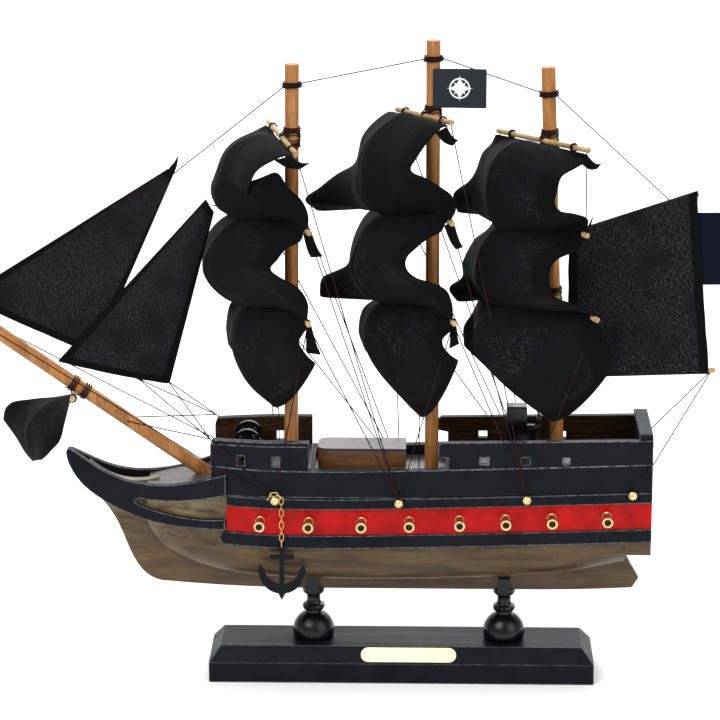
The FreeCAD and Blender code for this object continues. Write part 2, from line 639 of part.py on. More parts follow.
def mast(name):
    top = MASTS[name]["top"]
    start = (mast_x(name, MAST_STEP_Z), 0, MAST_STEP_Z)
    end = (mast_x(name, top), 0, top)
    dowel = rod(start, end, MAST_RADIUS)
    rim = [e for e in dowel.Edges if e.Length > 10 and e.BoundBox.ZMin > top - 1]
    return dowel.makeFillet(0.5, rim)


def yard_ends(name, level):
    """Port and starboard ends of a yard; bracing swings its port end aft."""
    height, brace, tilt, length = YARDS[name][level]
    brace, tilt = math.radians(brace), math.radians(tilt)
    middle = Vector(mast_x(name, height), 0, height)
    middle = middle - Vector(math.cos(brace), math.sin(brace), 0) * YARD_OFFSET
    along = Vector(math.sin(brace) * math.cos(tilt), -math.cos(brace) * math.cos(tilt), math.sin(tilt))
    return middle + along * (length / 2), middle - along * (length / 2)


def yard(port, starboard):
    return rod(tuple(port), tuple(starboard), YARD_RADIUS)


def sprit_yard_ends():
    brace, tilt = math.radians(SPRIT_YARD["brace"]), math.radians(SPRIT_YARD["tilt"])
    middle = Vector(*SPRIT_YARD["centre"])
    along = Vector(math.sin(brace) * math.cos(tilt), -math.cos(brace) * math.cos(tilt), math.sin(tilt))
    return middle + along * (SPRIT_YARD["length"] / 2), middle - along * (SPRIT_YARD["length"] / 2)


# ================================================================= cloth
def sail_frame(name, level):
    """Top and bottom heights and the brace angle of the sail hung from a yard."""
    height, brace, tilt, length = YARDS[name][level]
    half = length * SAIL_SHARE / 2
    top_z = height - SAIL_GAP - half * math.sin(math.radians(abs(tilt)))
    if level == 2:
        return top_z, SAIL_FOOT_Z[name], brace
    below, _, below_tilt, _ = YARDS[name][level + 1]
    bottom_z = below + SAIL_GAP + half * math.sin(math.radians(abs(below_tilt)))
    return top_z, bottom_z, brace


def place_sail(shape, name, level):
    """Carry a sail from its own frame to its yard: forward of the mast and braced round."""
    top_z, bottom_z, brace = sail_frame(name, level)
    shape.translate(Vector(-YARD_OFFSET - SAIL_GAP, 0, 0))
    shape.rotate(Vector(0, 0, 0), Vector(0, 0, 1), brace)
    shape.translate(Vector(mast_x(name, (top_z + bottom_z) / 2), 0, 0))
    return shape


def bellied_sail(name, level):
    """Sail shell: an arc bulging forward from its yard down to the next one.

    The lowest sail has no yard below it; its foot is drawn in to a narrow middle.
    """
    depth = SAIL_DEPTHS[name][level]
    top_z, bottom_z, _ = sail_frame(name, level)
    middle_z, chord = (top_z + bottom_z) / 2, (top_z - bottom_z) / 2
    radius = (chord ** 2 + depth ** 2) / (2 * depth)
    centre = Vector(radius - depth, 0, middle_z)
    outer = [Vector(0, 0, top_z), Vector(-depth, 0, middle_z), Vector(0, 0, bottom_z)]
    inner = [centre + (point - centre) * ((radius - CLOTH) / radius) for point in reversed(outer)]
    wire = Part.Wire([
        Part.Arc(*outer).toShape(), segment([outer[2], inner[0]]),
        Part.Arc(*inner).toShape(), segment([inner[2], outer[0]]),
    ])
    half = YARDS[name][level][3] * SAIL_SHARE / 2
    sail = Part.Face(wire).extrude(Vector(0, 2 * half, 0))
    sail.translate(Vector(0, -half, 0))
    if level == 2:
        clew_z = top_z - CLEW_DROP
        outline = [(-half, top_z + 1), (-half, clew_z), (-SAIL_FOOT_HALF, bottom_z - 1),
                   (SAIL_FOOT_HALF, bottom_z - 1), (half, clew_z), (half, top_z + 1)]
        points = [Vector(-80.0, y, z) for y, z in outline]
        sail = sail.common(Part.Face(Part.makePolygon(points + [points[0]])).extrude(Vector(160.0, 0, 0)))
    return place_sail(sail, name, level)


def flat_sail(outline, y=0.0):
    return plate(outline, y - CLOTH / 2, y + CLOTH / 2)


def spritsail():
    """Small sail under the sprit yard, bowed forward and following the yard's slant."""
    x, y, z = SPRIT_YARD["centre"]
    outline = [(x - 2.6, z - 0.6), (x - 18.6, z - 6.0), (x - 15.4, z - 22.0), (x - 9.4, z - 26.0),
               (x - 8.8, z - 25.2), (x - 14.6, z - 21.4), (x - 17.6, z - 6.6), (x - 2.4, z - 1.4)]
    sail = plate(outline, y - 20.0, y + 20.0)
    sail.rotate(Vector(x, y, z), Vector(1, 0, 0), -SPRIT_YARD["tilt"])
    sail.rotate(Vector(x, y, z), Vector(0, 0, 1), SPRIT_YARD["brace"])
    return sail


def main_flag():
    return box(13.0, 36.9, -3.9, -3.3, 267.0, 284.6)


def stern_flag():
    """Sewn by its hoist to the starboard side of the spanker's leech."""
    return box(130.6, 178.0, 0.55, 1.15, 185.6, 219.0)


# ================================================================= cordage
def thread(*route):
    """Tight thread through the given points, with a rounded knuckle at each bend."""
    shape = None
    for start, end in zip(route[:-1], route[1:]):
        run = rod(tuple(start), tuple(end), THREAD_RADIUS)
        shape = run if shape is None else shape.fuse(run)
    for bend in route[1:-1]:
        shape = shape.fuse(ball(tuple(bend), THREAD_RADIUS))
    return shape


def between(start, end, share):
    return start + (end - start) * share


def pin_point(index, side):
    """Where a thread meets a nail: in the knot round its shank, close to the hull."""
    x, z = PIN_PLACES[index]
    return Vector(x, side * (hull_skin(x) + 0.75), z + PIN_RADIUS + 0.4)


def knot(index, side):
    """Collar of knotted thread round a nail."""
    x, z = PIN_PLACES[index]
    start, end = (side * (hull_skin(x) + reach) for reach in (0.2, 1.3))
    return rod((x, start, z), (x, end, z), KNOT_RADIUS).cut(rod((x, start, z), (x, end, z), PIN_RADIUS + 0.03))


def wrap(centre, axis, radius, turns=1):
    """Thread turns wound round a spar."""
    axis = Vector(*axis)
    axis.normalize()
    rings = None
    for i in range(turns):
        place = Vector(*centre) + axis * ((i - (turns - 1) / 2) * THREAD_RADIUS * 1.9)
        ring = Part.makeTorus(radius + THREAD_RADIUS + WRAP_CLEARANCE, THREAD_RADIUS, place, axis)
        rings = ring if rings is None else rings.fuse(ring)
    return rings


def mast_axis(name):
    return MASTS[name]["lean"], 0, 1


def stay_line():
    """One thread over the three mastheads, from the bowsprit's tip to the spanker's gaff.

    Forward it runs down the starboard side of the outer jib's luff.
    """
    place = {name: mast_x(name, height) for name, height in STAY_LASH.items()}
    reach = MAST_RADIUS + THREAD_RADIUS
    fore, main, mizzen = (STAY_LASH[name] for name in ("fore", "main", "mizzen"))
    behind = OUTER_JIB_Y + 0.75
    line = thread(Vector(-202.6, behind, 176.2), Vector(-104.0, behind, 235.0),
                  Vector(place["fore"] - reach, 0, fore - 0.7))
    line = line.fuse(thread(Vector(place["fore"] + reach, 0, fore + 0.7),
                            Vector(place["main"] - reach, 0, main)))
    line = line.fuse(thread(Vector(place["main"] + reach, 0, main + 0.5),
                            Vector(place["mizzen"] - reach, 0, mizzen + 0.6)))
    line = line.fuse(thread(Vector(place["mizzen"] + reach, 0, mizzen - 0.7), Vector(120.4, 0, 224.0)))
    for name, height in STAY_LASH.items():
        line = line.fuse(wrap((place[name], 0, height), mast_axis(name), MAST_RADIUS, 4))
    return line


def corner(place, side):
    """Bend of a thread round the outside of the hull, at an (x, z) place."""
    x, z = place
    return Vector(x, side * (half_beam(x) + 0.3), z)


def rigging(side):
    """Threads of one side, each bundle knotted at its nail."""
    end = 0 if side < 0 else 1
    bundles = {index: [] for index in range(len(PIN_PLACES))}
    for name, index in (("fore", 1), ("main", 2)):
        for level in range(3):
            ends = yard_ends(name, level)
            bundles[index].append([between(ends[end], ends[1 - end], 0.03)])
    for name, index in (("fore", 0), ("main", 1), ("mizzen", 2)):
        ends = yard_ends(name, 2)
        start = between(ends[end], ends[1 - end], 0.02)
        nail = pin_point(index, side)
        rail = between(start, nail, (start.z - RAIL_Z) / (start.z - nail.z))
        bundles[index].append([start, corner((rail.x, RAIL_Z), side)])
    x, z = INNER_JIB[2]
    bundles[0].append([Vector(x, side * 0.7, z + 0.4), corner(RAIL_CORNER, side)])
    x, z = OUTER_JIB[2]
    beside, under = (1.75, 0.75) if side < 0 else (2.55, 1.9)
    bend = Vector(SHEET_BEND[0], under, SHEET_BEND[1])
    bundles[0].append([Vector(x, beside, z + 0.4), bend, corner(RAIL_CORNER, side)])
    for x, bend in ((-192.0, BOW_CORNER), (-126.0, RAIL_CORNER)):
        bundles[0].append([Vector(x, side * (MAST_RADIUS + 0.1), bowsprit_z(x)), corner(bend, side)])
    bundles[3].append([Vector(BOOM_ENDS[1][0] - 1.5, 0, BOOM_ENDS[1][1]), corner(STERN_CORNER, side)])
    shapes = []
    for index, routes in bundles.items():
        bundle = knot(index, side)
        for route in routes:
            bundle = bundle.fuse(thread(*route, pin_point(index, side)))
        shapes.append(bundle.cut(pin(*PIN_PLACES[index], side)))
    return shapes


def yard_link(side):
    """Thread between the yardarms of the two upper mizzen yards."""
    end = 0 if side < 0 else 1
    ends = [yard_ends("mizzen", level) for level in range(2)]
    return thread(*[between(pair[end], pair[1 - end], 0.02) for pair in ends])


def bowsprit_z(x):
    share = (x - BOWSPRIT_HEEL[0]) / (BOWSPRIT_TIP[0] - BOWSPRIT_HEEL[0])
    return BOWSPRIT_HEEL[1] + share * (BOWSPRIT_TIP[1] - BOWSPRIT_HEEL[1])


def jib_halyard():
    """Thread from the inner jib's head to the fore yard behind it."""
    yard_z = YARDS["fore"][1][0] - 0.4
    fore_yard = Vector(mast_x("fore", yard_z) - YARD_OFFSET, 0, yard_z)
    return thread(Vector(-86.6, 0, 221.7), fore_yard)


def downhauls():
    """Thin threads from the middle of each lower sail's foot to the deck."""
    lines = []
    for name, foot_z in SAIL_FOOT_Z.items():
        top_z, bottom_z, brace = sail_frame(name, 2)
        reach = YARD_OFFSET + SAIL_GAP - CLOTH / 2
        x = mast_x(name, (top_z + bottom_z) / 2) - reach * math.cos(math.radians(brace))
        y = -reach * math.sin(math.radians(brace))
        deck = WELL_FLOOR_Z if WELL_FRONT_X < x < WELL_BACK_X else DECK_Z + sheer(x) + PLANK_SHEET
        lines.append(thread(Vector(x, y, foot_z - 0.3), Vector(x, y, deck - PLANK_SHEET / 2)))
    return lines


def lashings():
    """Turns that hold each yard to its mast and each sail to its yard."""
    turns = []
    for name, levels in YARDS.items():
        for level, (height, *_) in enumerate(levels):
            port, starboard = yard_ends(name, level)
            along = tuple(starboard - port)
            for share in (0.16, 0.84):
                turns.append(wrap(tuple(between(port, starboard, share)), along, YARD_RADIUS, 4))
            for shift in (-2.4, 2.4):
                middle = (mast_x(name, height + shift), 0, height + shift)
                turns.append(wrap(middle, mast_axis(name), MAST_RADIUS, 3))
    port, starboard = sprit_yard_ends()
    for share in (0.14, 0.86):
        turns.append(wrap(tuple(between(port, starboard, share)), tuple(starboard - port), YARD_RADIUS, 3))
    slope = (BOWSPRIT_TIP[0] - BOWSPRIT_HEEL[0], 0, BOWSPRIT_TIP[1] - BOWSPRIT_HEEL[1])
    for x in (-145.3, -150.5):
        turns.append(wrap((x, 0, bowsprit_z(x)), slope, MAST_RADIUS, 4))
    return turns


# ================================================================= assembly
def build():
    save("stand_base", cut_screw_wells(stand_base()))
    save("nameplate", nameplate())
    save("fore_stand_post", stand_post(POST_X[0]))
    save("aft_stand_post", stand_post(POST_X[1]))
    save("stand_screws", *[screw(x) for x in POST_X])

    masts = {name: mast(name) for name in MASTS}
    heel = (BOWSPRIT_HEEL[0], 0, BOWSPRIT_HEEL[1])
    bowsprit = rod(heel, (BOWSPRIT_TIP[0], 0, BOWSPRIT_TIP[1]), MAST_RADIUS)
    pins = [pin(x, z, side) for x, z in PIN_PLACES for side in (-1, 1)]
    guns = {side: [cannon(x, side) for x in CANNON_X] for side in (-1, 1)}

    block = hull_block()
    tier = upper_tier_volume()
    board = keel_board().cut(block)
    deck = beak_deck()
    board = board.cut(deck)
    rails = [rail.cut(board) for rail in (head_rail(), mirrored(head_rail()))]
    band = planks(*GUN_BAND_Z, -80.0, STERN_X, 1.2)
    wale = planks(*LOWER_WALE_Z, -81.0, STERN_X, 0.2, 2.0)
    moulding = cut_all(planks(*MOULDING_Z, -79.8, STERN_X, 0.2), [tier] + pins)
    spars = list(masts.values()) + [bowsprit]
    block = cut_all(block, spars + guns[-1] + guns[1] + pins)
    deck = deck.cut(bowsprit)
    fore_deck = cut_all(deck_sheet(UPPER_FRONT_X, WELL_FRONT_X - 1.5), spars + [tier])
    quarter_deck = cut_all(deck_sheet(WELL_BACK_X + 2.0, STERN_X - TRANSOM_THICKNESS), spars + [tier])
    well = cut_all(well_deck(), spars)
    save("hull_body", block)
    save("keel_and_stem", board)
    save("beak_deck", deck)
    save("upper_hull", cut_all(upper_tier(), spars + pins))
    save("port_head_rail", rails[0])
    save("starboard_head_rail", rails[1])
    save("well_deck", well)
    save("fore_deck", fore_deck)
    save("quarter_deck", quarter_deck)
    save("transom", transom())

    save("gun_bands", *[cut_all(shape, guns[side]) for side, shape in ((-1, band), (1, mirrored(band)))])
    save("lower_wales", wale, mirrored(wale))
    save("upper_mouldings", moulding, mirrored(moulding))
    bulwark_fore, bulwark_aft = fore_bulwark().cut(tier), aft_bulwark().cut(tier)
    save("port_fore_bulwark", bulwark_fore)
    save("starboard_fore_bulwark", mirrored(bulwark_fore))
    save("port_aft_bulwark", bulwark_aft)
    save("starboard_aft_bulwark", mirrored(bulwark_aft))
    save("port_cannons", *guns[-1])
    save("starboard_cannons", *guns[1])
    save("rigging_pins", *pins, *chain_loop())

    save("waist_hatch", hatch_slab(WELL_FLOOR_Z, HATCH_TOP_Z - HATCH_LID))
    save("hatch_lid", hatch_slab(HATCH_TOP_Z - HATCH_LID, HATCH_TOP_Z))
    save("windlass_drum", windlass_drum())
    save("windlass_posts", *[cut_all(post, [tier, fore_deck]) for post in windlass_posts()])
    save("wheel_stand", cut_all(wheel_stand(), [tier, quarter_deck]))
    save("ships_wheel", ships_wheel())
    save("anchor_chain", *anchor_chain())
    save("anchor", anchor())

    yards = {name: [yard(*yard_ends(name, level)) for level in range(3)] for name in MASTS}
    sprit = yard(*sprit_yard_ends())
    gaff, boom = (rod((a[0], 0, a[1]), (b[0], 0, b[1]), YARD_RADIUS) for a, b in (GAFF_ENDS, BOOM_ENDS))
    for name, shape in masts.items():
        save(name + "_mast", shape)
        save(name + "_yards", *yards[name])
    save("bowsprit", bowsprit)
    save("sprit_yard", sprit)
    save("spanker_spars", gaff, boom)

    sails = {}
    for name in MASTS:
        for level, word in enumerate(("top", "middle", "lower")):
            sails[name + "_" + word + "_sail"] = bellied_sail(name, level)
    sails["outer_jib"] = flat_sail(OUTER_JIB, OUTER_JIB_Y)
    sails["inner_jib"] = flat_sail(INNER_JIB)
    sails["spanker"] = flat_sail(SPANKER)
    sails["spritsail"] = spritsail()
    for name, shape in sails.items():
        save(name, shape)
    save("main_flag", main_flag())
    save("stern_flag", stern_flag())

    wood = [piece for group in yards.values() for piece in group] + [sprit, gaff, boom] + spars
    save("stay_line", cut_all(stay_line(), [gaff, bowsprit]))
    lines = rigging(-1) + rigging(1) + [yard_link(-1), yard_link(1), jib_halyard()] + downhauls()
    save("rigging", *[cut_all(line, wood + [fore_deck, quarter_deck, well]) for line in lines])
    save("lashings", *lashings())


def cut_all(shape, tools):
    for tool in tools:
        shape = shape.cut(tool)
    return shape


def cut_screw_wells(base):
    for x in POST_X:
        base = base.cut(screw_well(x))
    return base


build()
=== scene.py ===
import json
import math

import bpy
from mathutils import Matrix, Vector, noise


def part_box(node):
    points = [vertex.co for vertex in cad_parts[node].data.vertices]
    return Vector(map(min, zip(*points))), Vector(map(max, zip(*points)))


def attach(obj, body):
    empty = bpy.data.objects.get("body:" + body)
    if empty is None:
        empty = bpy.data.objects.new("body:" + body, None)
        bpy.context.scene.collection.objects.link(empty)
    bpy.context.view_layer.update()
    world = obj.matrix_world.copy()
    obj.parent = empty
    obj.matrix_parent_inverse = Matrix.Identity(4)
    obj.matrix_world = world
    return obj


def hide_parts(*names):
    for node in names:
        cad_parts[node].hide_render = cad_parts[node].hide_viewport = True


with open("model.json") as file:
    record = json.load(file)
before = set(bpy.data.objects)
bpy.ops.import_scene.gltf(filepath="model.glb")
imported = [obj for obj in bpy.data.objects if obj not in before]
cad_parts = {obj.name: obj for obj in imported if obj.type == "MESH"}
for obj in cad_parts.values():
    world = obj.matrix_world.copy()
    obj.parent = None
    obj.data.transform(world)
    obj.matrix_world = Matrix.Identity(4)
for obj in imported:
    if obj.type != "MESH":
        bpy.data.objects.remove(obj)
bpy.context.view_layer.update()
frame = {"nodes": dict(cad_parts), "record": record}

# Looks of the three-masted model ship: +X aft, -Y port, +Z up. Blender works in metres. The shapes' sizes
# and places are in millimetres, which MM turns into metres; bump heights, edge radii and the studio are in
# metres.
MM = 0.001
nodes = frame["nodes"]


# ------------------------------------------------------------------ node materials
class Paint:
    """A node material, and short ways to add nodes to it."""

    def __init__(self, name):
        self.material = bpy.data.materials.new(name)
        self.material.use_nodes = True
        self.tree = self.material.node_tree
        self.shader = self.tree.nodes["Principled BSDF"]
        self.place = self.add("ShaderNodeTexCoord").outputs["Object"]

    def add(self, kind, inputs=None, **settings):
        node = self.tree.nodes.new(kind)
        for key, value in settings.items():
            setattr(node, key, value)
        for key, value in (inputs or {}).items():
            self.feed(node.inputs[key], value)
        return node

    def feed(self, socket, value):
        if isinstance(value, bpy.types.NodeSocket):
            self.tree.links.new(value, socket)
        else:
            socket.default_value = value

    def set(self, **values):
        for key, value in values.items():
            self.feed(self.shader.inputs[key.replace("_", " ")], value)

    def math(self, operation, a, b=0.0):
        node = self.add("ShaderNodeMath", operation=operation)
        self.feed(node.inputs[0], a)
        self.feed(node.inputs[1], b)
        return node.outputs[0]

    def stretched(self, scale):
        """Object coordinates in millimetres, times a scale for each axis."""
        size = tuple(1000.0 * s for s in scale)
        return self.add("ShaderNodeMapping", {"Vector": self.place, "Scale": size}).outputs[0]

    def noise(self, scale, stretch=(1, 1, 1), detail=4.0, rough=0.6, place=None):
        """Noise with features about 1/scale millimetres wide."""
        place = place or self.stretched(stretch)
        return self.add("ShaderNodeTexNoise", {
            "Vector": place, "Scale": scale, "Detail": detail, "Roughness": rough}).outputs["Fac"]

    def ramp(self, value, *stops):
        node = self.add("ShaderNodeValToRGB", {"Fac": value})
        ramp = node.color_ramp
        while len(ramp.elements) < len(stops):
            ramp.elements.new(1.0)
        for element, (at, colour) in zip(ramp.elements, stops):
            element.position = at
            element.color = (*colour, 1.0) if len(colour) == 3 else colour
        return node.outputs["Color"]

    def span(self, value, low, high, out_low=0.0, out_high=1.0):
        return self.add("ShaderNodeMapRange", {
            "Value": value, "From Min": low, "From Max": high,
            "To Min": out_low, "To Max": out_high}).outputs["Result"]

    def mix(self, share, a, b):
        node = self.add("ShaderNodeMix", data_type="RGBA")
        self.feed(node.inputs["Factor"], share)
        for socket, value in ((node.inputs[6], a), (node.inputs[7], b)):
            self.feed(socket, (*value, 1.0) if isinstance(value, tuple) and len(value) == 3 else value)
        return node.outputs[2]

    def bump(self, height, distance, strength=1.0, under=None):
        inputs = {"Height": height, "Distance": distance, "Strength": strength}
        if under is not None:
            inputs["Normal"] = under
        return self.add("ShaderNodeBump", inputs).outputs["Normal"]

    def edges(self, radius):
        """1 along sharp edges, 0 on flats."""
        rounded = self.add("ShaderNodeBevel", {"Radius": radius}, samples=6).outputs["Normal"]
        normal = self.add("ShaderNodeNewGeometry").outputs["Normal"]
        dot = self.add("ShaderNodeVectorMath", {0: rounded, 1: normal}, operation="DOT_PRODUCT")
        return self.span(dot.outputs["Value"], 0.995, 0.86)

    def axis(self, index):
        split = self.add("ShaderNodeSeparateXYZ", {"Vector": self.place})
        return split.outputs[index]


def grain(paint, along, fine=1.6, coarse=0.22):
    """Wood grain running along an axis: fibres, and broad soft figure."""
    stretch = [1.0, 1.0, 1.0]
    stretch[along] = 0.06
    fibres = paint.noise(fine, stretch, 6.0, 0.65)
    stretch[along] = 0.12
    figure = paint.noise(coarse, stretch, 3.0, 0.55)
    return fibres, figure


def bare_wood(name, dark, middle, light, along, rough=0.42, coat=0.1):
    """Stained or clear wood in three tones, with dark pores and a thin coat."""
    paint = Paint(name)
    fibres, figure = grain(paint, along)
    both = paint.math("ADD", paint.math("MULTIPLY", fibres, 0.5), paint.math("MULTIPLY", figure, 0.5))
    colour = paint.ramp(both, (0.34, dark), (0.5, middle), (0.66, light))
    pores = paint.ramp(fibres, (0.3, (0.35, 0.35, 0.35)), (0.42, (1, 1, 1)))
    colour = paint.add("ShaderNodeMix", {"Factor": 0.7, 6: colour, 7: pores},
                       data_type="RGBA", blend_type="MULTIPLY").outputs[2]
    paint.set(Base_Color=colour, Roughness=paint.span(fibres, 0.3, 0.7, rough + 0.1, rough - 0.1),
              Coat_Weight=coat, Coat_Roughness=0.25, Specular_IOR_Level=0.25,
              Normal=paint.bump(fibres, 0.00012, 0.5))
    return paint


def painted_wood(name, colour, worn_and_lit_tone, rough, along=0, coat=0.0, wear_and_highlight=0.55, edge=0.0006, gloss=0.08):
    """Brushed paint over wood: grain telegraphs through; paler edges are partly abrasion, partly painted
    highlight.
    """
    paint = Paint(name)
    fibres, figure = grain(paint, along, 1.1, 0.12)
    blotch = paint.noise(0.09, (1, 1, 1), 3.0)
    dark, light = (tuple(min(1, c * share) for c in colour) for share in (0.72, 1.35))
    shade = paint.ramp(blotch, (0.3, dark), (0.7, light))
    # Edge mask: the paler edge tone is partly abrasion of the paint and partly a painted highlight.
    rubbed_and_lit = paint.math("MULTIPLY", paint.edges(edge), paint.span(paint.noise(0.5), 0.38, 0.62, 0.15, 1.0))
    shade = paint.mix(paint.math("MULTIPLY", rubbed_and_lit, wear_and_highlight), shade, worn_and_lit_tone)
    grime = paint.noise(2.6, (1, 1, 1), 8.0, 0.7)
    bump = paint.bump(fibres, 0.00016, 0.45)
    bump = paint.bump(grime, 0.00005, 0.5, bump)
    paint.set(Base_Color=shade, Roughness=paint.span(figure, 0.3, 0.7, rough - 0.08, rough + 0.1),
              Coat_Weight=coat, Coat_Roughness=0.22, Specular_IOR_Level=gloss, Normal=bump)
    return paint


def plank_seams(paint, axis_index, width, seam_share=0.09):
    """Mask of the seams between planks of one width, with a seam on the middle line."""
    place = paint.math("MULTIPLY", paint.axis(axis_index), 1.0 / (width * MM))
    saw = paint.math("FRACT", paint.math("ADD", place, 0.5))
    return paint.math("LESS_THAN", paint.math("ABSOLUTE", paint.math("SUBTRACT", saw, 0.5)), seam_share / 2)


def metal(name, colour, rough, scratch=0.3, tarnish=0.6):
    """Polished metal with a little tarnish, and painted shade: near black in bores and crevices."""
    paint = Paint(name)
    stain = paint.noise(0.5, (1, 1, 1), 5.0)
    fine = paint.noise(6.0, (1, 1, 0.2), 6.0, 0.7)
    dull = tuple(c * tarnish for c in colour)
    # Painted shade: an ambient-occlusion mask turns bores and crevices near black and not metallic.
    painted_shade_ao = paint.add("ShaderNodeAmbientOcclusion", {"Distance": 0.003}, samples=8)
    unshaded_share = paint.span(painted_shade_ao.outputs["AO"], 0.22, 0.5)
    shade = paint.mix(unshaded_share, (0.004, 0.003, 0.002), paint.ramp(stain, (0.35, dull), (0.6, colour)))
    paint.set(Base_Color=shade, Metallic=paint.span(unshaded_share, 0.2, 0.6),
              Roughness=paint.span(fine, 0.3, 0.7, rough, rough + scratch),
              Normal=paint.bump(fine, 0.00004, 0.4))
    return paint


HEM = 4.2 * MM
STITCH_WIDTH = 0.18 * MM
STITCH_WAVE = 4200.0      # radians of the dash pattern for each metre of hem


def cloth(name, colour, lit, speck, thread=0.55, sheen=0.03, patchy=(0.38, 0.60), slub=1.3):
    """Plain weave seen close, by distance on the cloth: slubs, pinpricks of light, and a stitched hem."""
    paint = Paint(name)
    uv = paint.add("ShaderNodeUVMap", uv_map="cloth").outputs["UV"]
    split = paint.add("ShaderNodeSeparateXYZ", {"Vector": uv})
    waves = []
    for index in (0, 1):
        turns = paint.math("MULTIPLY", split.outputs[index], 2 * math.pi * 1000.0 / thread)
        waves.append(paint.math("SINE", turns))
    weave = paint.math("MULTIPLY", waves[0], waves[1])
    stretch = paint.add("ShaderNodeMapping", {"Vector": uv, "Scale": (1000, 220, 1)}).outputs[0]
    warp = paint.noise(slub, place=stretch, detail=5.0)
    stretch = paint.add("ShaderNodeMapping", {"Vector": uv, "Scale": (300, 1000, 1)}).outputs[0]
    weft = paint.noise(slub, place=stretch, detail=5.0)
    slubs = paint.math("MULTIPLY", warp, weft)
    pin = paint.math("MULTIPLY", paint.span(slubs, 0.25, 0.33), paint.span(weave, -0.2, 0.7))
    patch = paint.span(paint.noise(0.04, (1, 1, 1), 2.0), *patchy)
    edge = paint.add("ShaderNodeUVMap", uv_map="hem").outputs["UV"]
    inner = paint.add("ShaderNodeSeparateXYZ", {"Vector": edge}).outputs[0]
    open_part = paint.span(inner, HEM * 0.9, HEM * 1.1)
    pin = paint.math("MULTIPLY", paint.math("MULTIPLY", pin, patch), open_part)
    base = paint.mix(paint.math("MULTIPLY", slubs, 2.2), colour, lit)
    base = paint.mix(open_part, colour, base)
    base = paint.mix(pin, base, speck)
    from_line = paint.math("ABSOLUTE", paint.math("SUBTRACT", inner, HEM * 0.85))
    wave = paint.math("SINE", paint.math("MULTIPLY", split.outputs[0], STITCH_WAVE))
    stitches = paint.math("MULTIPLY", paint.math("LESS_THAN", from_line, STITCH_WIDTH),
                          paint.math("GREATER_THAN", wave, -0.2))
    height = paint.math("ADD", paint.math("MULTIPLY", weave, 0.5), paint.math("MULTIPLY", slubs, 1.4))
    height = paint.math("SUBTRACT", height, paint.math("MULTIPLY", stitches, 1.5))
    paint.set(Base_Color=base, Roughness=0.88, Sheen_Weight=sheen, Sheen_Roughness=0.45,
              Specular_IOR_Level=0.05, Normal=paint.bump(height, 0.00010, 0.55))
    return paint


MAIN_FLAG_CUT, STERN_FLAG_CUT = (24.0, 17.6), (47.4, 33.4)
STAR_UNIT = 6.024         # the star's arms and ring are counted in this length


def printed_flag():
    """Slate satin with a white compass star printed in the middle: two crossed stars and a ring."""
    paint = cloth("flag_cloth", (0.020, 0.024, 0.030), (0.034, 0.040, 0.050), (0.06, 0.07, 0.08), 0.4, 0.2)
    uv = paint.add("ShaderNodeUVMap", uv_map="cloth").outputs["UV"]
    split = paint.add("ShaderNodeSeparateXYZ", {"Vector": uv})

    def from_middle(index):
        place = paint.math("MULTIPLY", split.outputs[index], 1.0 / (STAR_UNIT * MM))
        return paint.math("ABSOLUTE", paint.math("SUBTRACT", place, MAIN_FLAG_CUT[index] / 2 / STAR_UNIT))

    def star(a, b, size):
        reach = paint.math("ADD", paint.math("POWER", a, 0.55), paint.math("POWER", b, 0.55))
        return paint.math("LESS_THAN", reach, size)

    across, down = from_middle(0), from_middle(1)
    cos_45 = 0.7071
    turned_a = paint.math("ABSOLUTE", paint.math("MULTIPLY", paint.math("SUBTRACT", across, down), cos_45))
    turned_b = paint.math("MULTIPLY", paint.math("ADD", across, down), cos_45)
    square = paint.math("ADD", paint.math("POWER", across, 2.0), paint.math("POWER", down, 2.0))
    radius = paint.math("SQRT", square)
    ring = paint.math("LESS_THAN", paint.math("ABSOLUTE", paint.math("SUBTRACT", radius, 0.72)), 0.055)
    stars = paint.math("MAXIMUM", star(across, down, 1.02), star(turned_a, turned_b, 0.85))
    mark = paint.math("MAXIMUM", ring, stars)
    cloth_colour = paint.shader.inputs["Base Color"].links[0].from_socket
    paint.set(Base_Color=paint.mix(mark, cloth_colour, (0.78, 0.78, 0.76)), Roughness=0.5)
    return paint


# The second colour of each painted_wood call is its edge tone: partly abrasion, partly painted highlight.
materials = {
    "black_satin_wood": painted_wood("black_satin_wood", (0.0055, 0.0066, 0.0098), (0.27, 0.29, 0.31), 0.42,
                                     wear_and_highlight=0.8, edge=0.0008),
    "black_gloss_wood": painted_wood("black_gloss_wood", (0.0028, 0.003, 0.0036), (0.04, 0.04, 0.045), 0.2, 2,
                                     0.2, 0.3, gloss=0.2),
    "red_paint": painted_wood("red_paint", (0.34, 0.0030, 0.0022), (0.50, 0.08, 0.05), 0.26, 0, 0.05, 0.4,
                              gloss=0.1),
    "dark_stained_wood": painted_wood("dark_stained_wood", (0.016, 0.009, 0.006), (0.10, 0.055, 0.03), 0.3),
    "honey_dowel": bare_wood("honey_dowel", (0.17, 0.058, 0.014), (0.33, 0.135, 0.036),
                             (0.47, 0.22, 0.07), 2),
    "bamboo": bare_wood("bamboo", (0.16, 0.095, 0.035), (0.38, 0.25, 0.11), (0.60, 0.46, 0.25), 1, 0.45),
    "orange_stained_wood": bare_wood("orange_stained_wood", (0.045, 0.018, 0.007), (0.12, 0.052, 0.02),
                                     (0.22, 0.10, 0.04), 0, 0.3, 0.2),
    "brass": metal("brass", (0.80, 0.62, 0.30), 0.22, 0.2),
    "screw_steel": metal("screw_steel", (0.55, 0.55, 0.55), 0.3),
    "gilt_chain": metal("gilt_chain", (0.85, 0.50, 0.18), 0.22, 0.15),
    "black_cotton": cloth("black_cotton", (0.0030, 0.0030, 0.0034), (0.0065, 0.0065, 0.0072),
                          (0.07, 0.07, 0.072), patchy=(0.50, 0.72)),
    "flag_cloth": printed_flag(),
    "navy_flag_cloth": cloth("navy_flag_cloth", (0.0035, 0.005, 0.012), (0.009, 0.012, 0.024),
                             (0.03, 0.036, 0.05)),
}


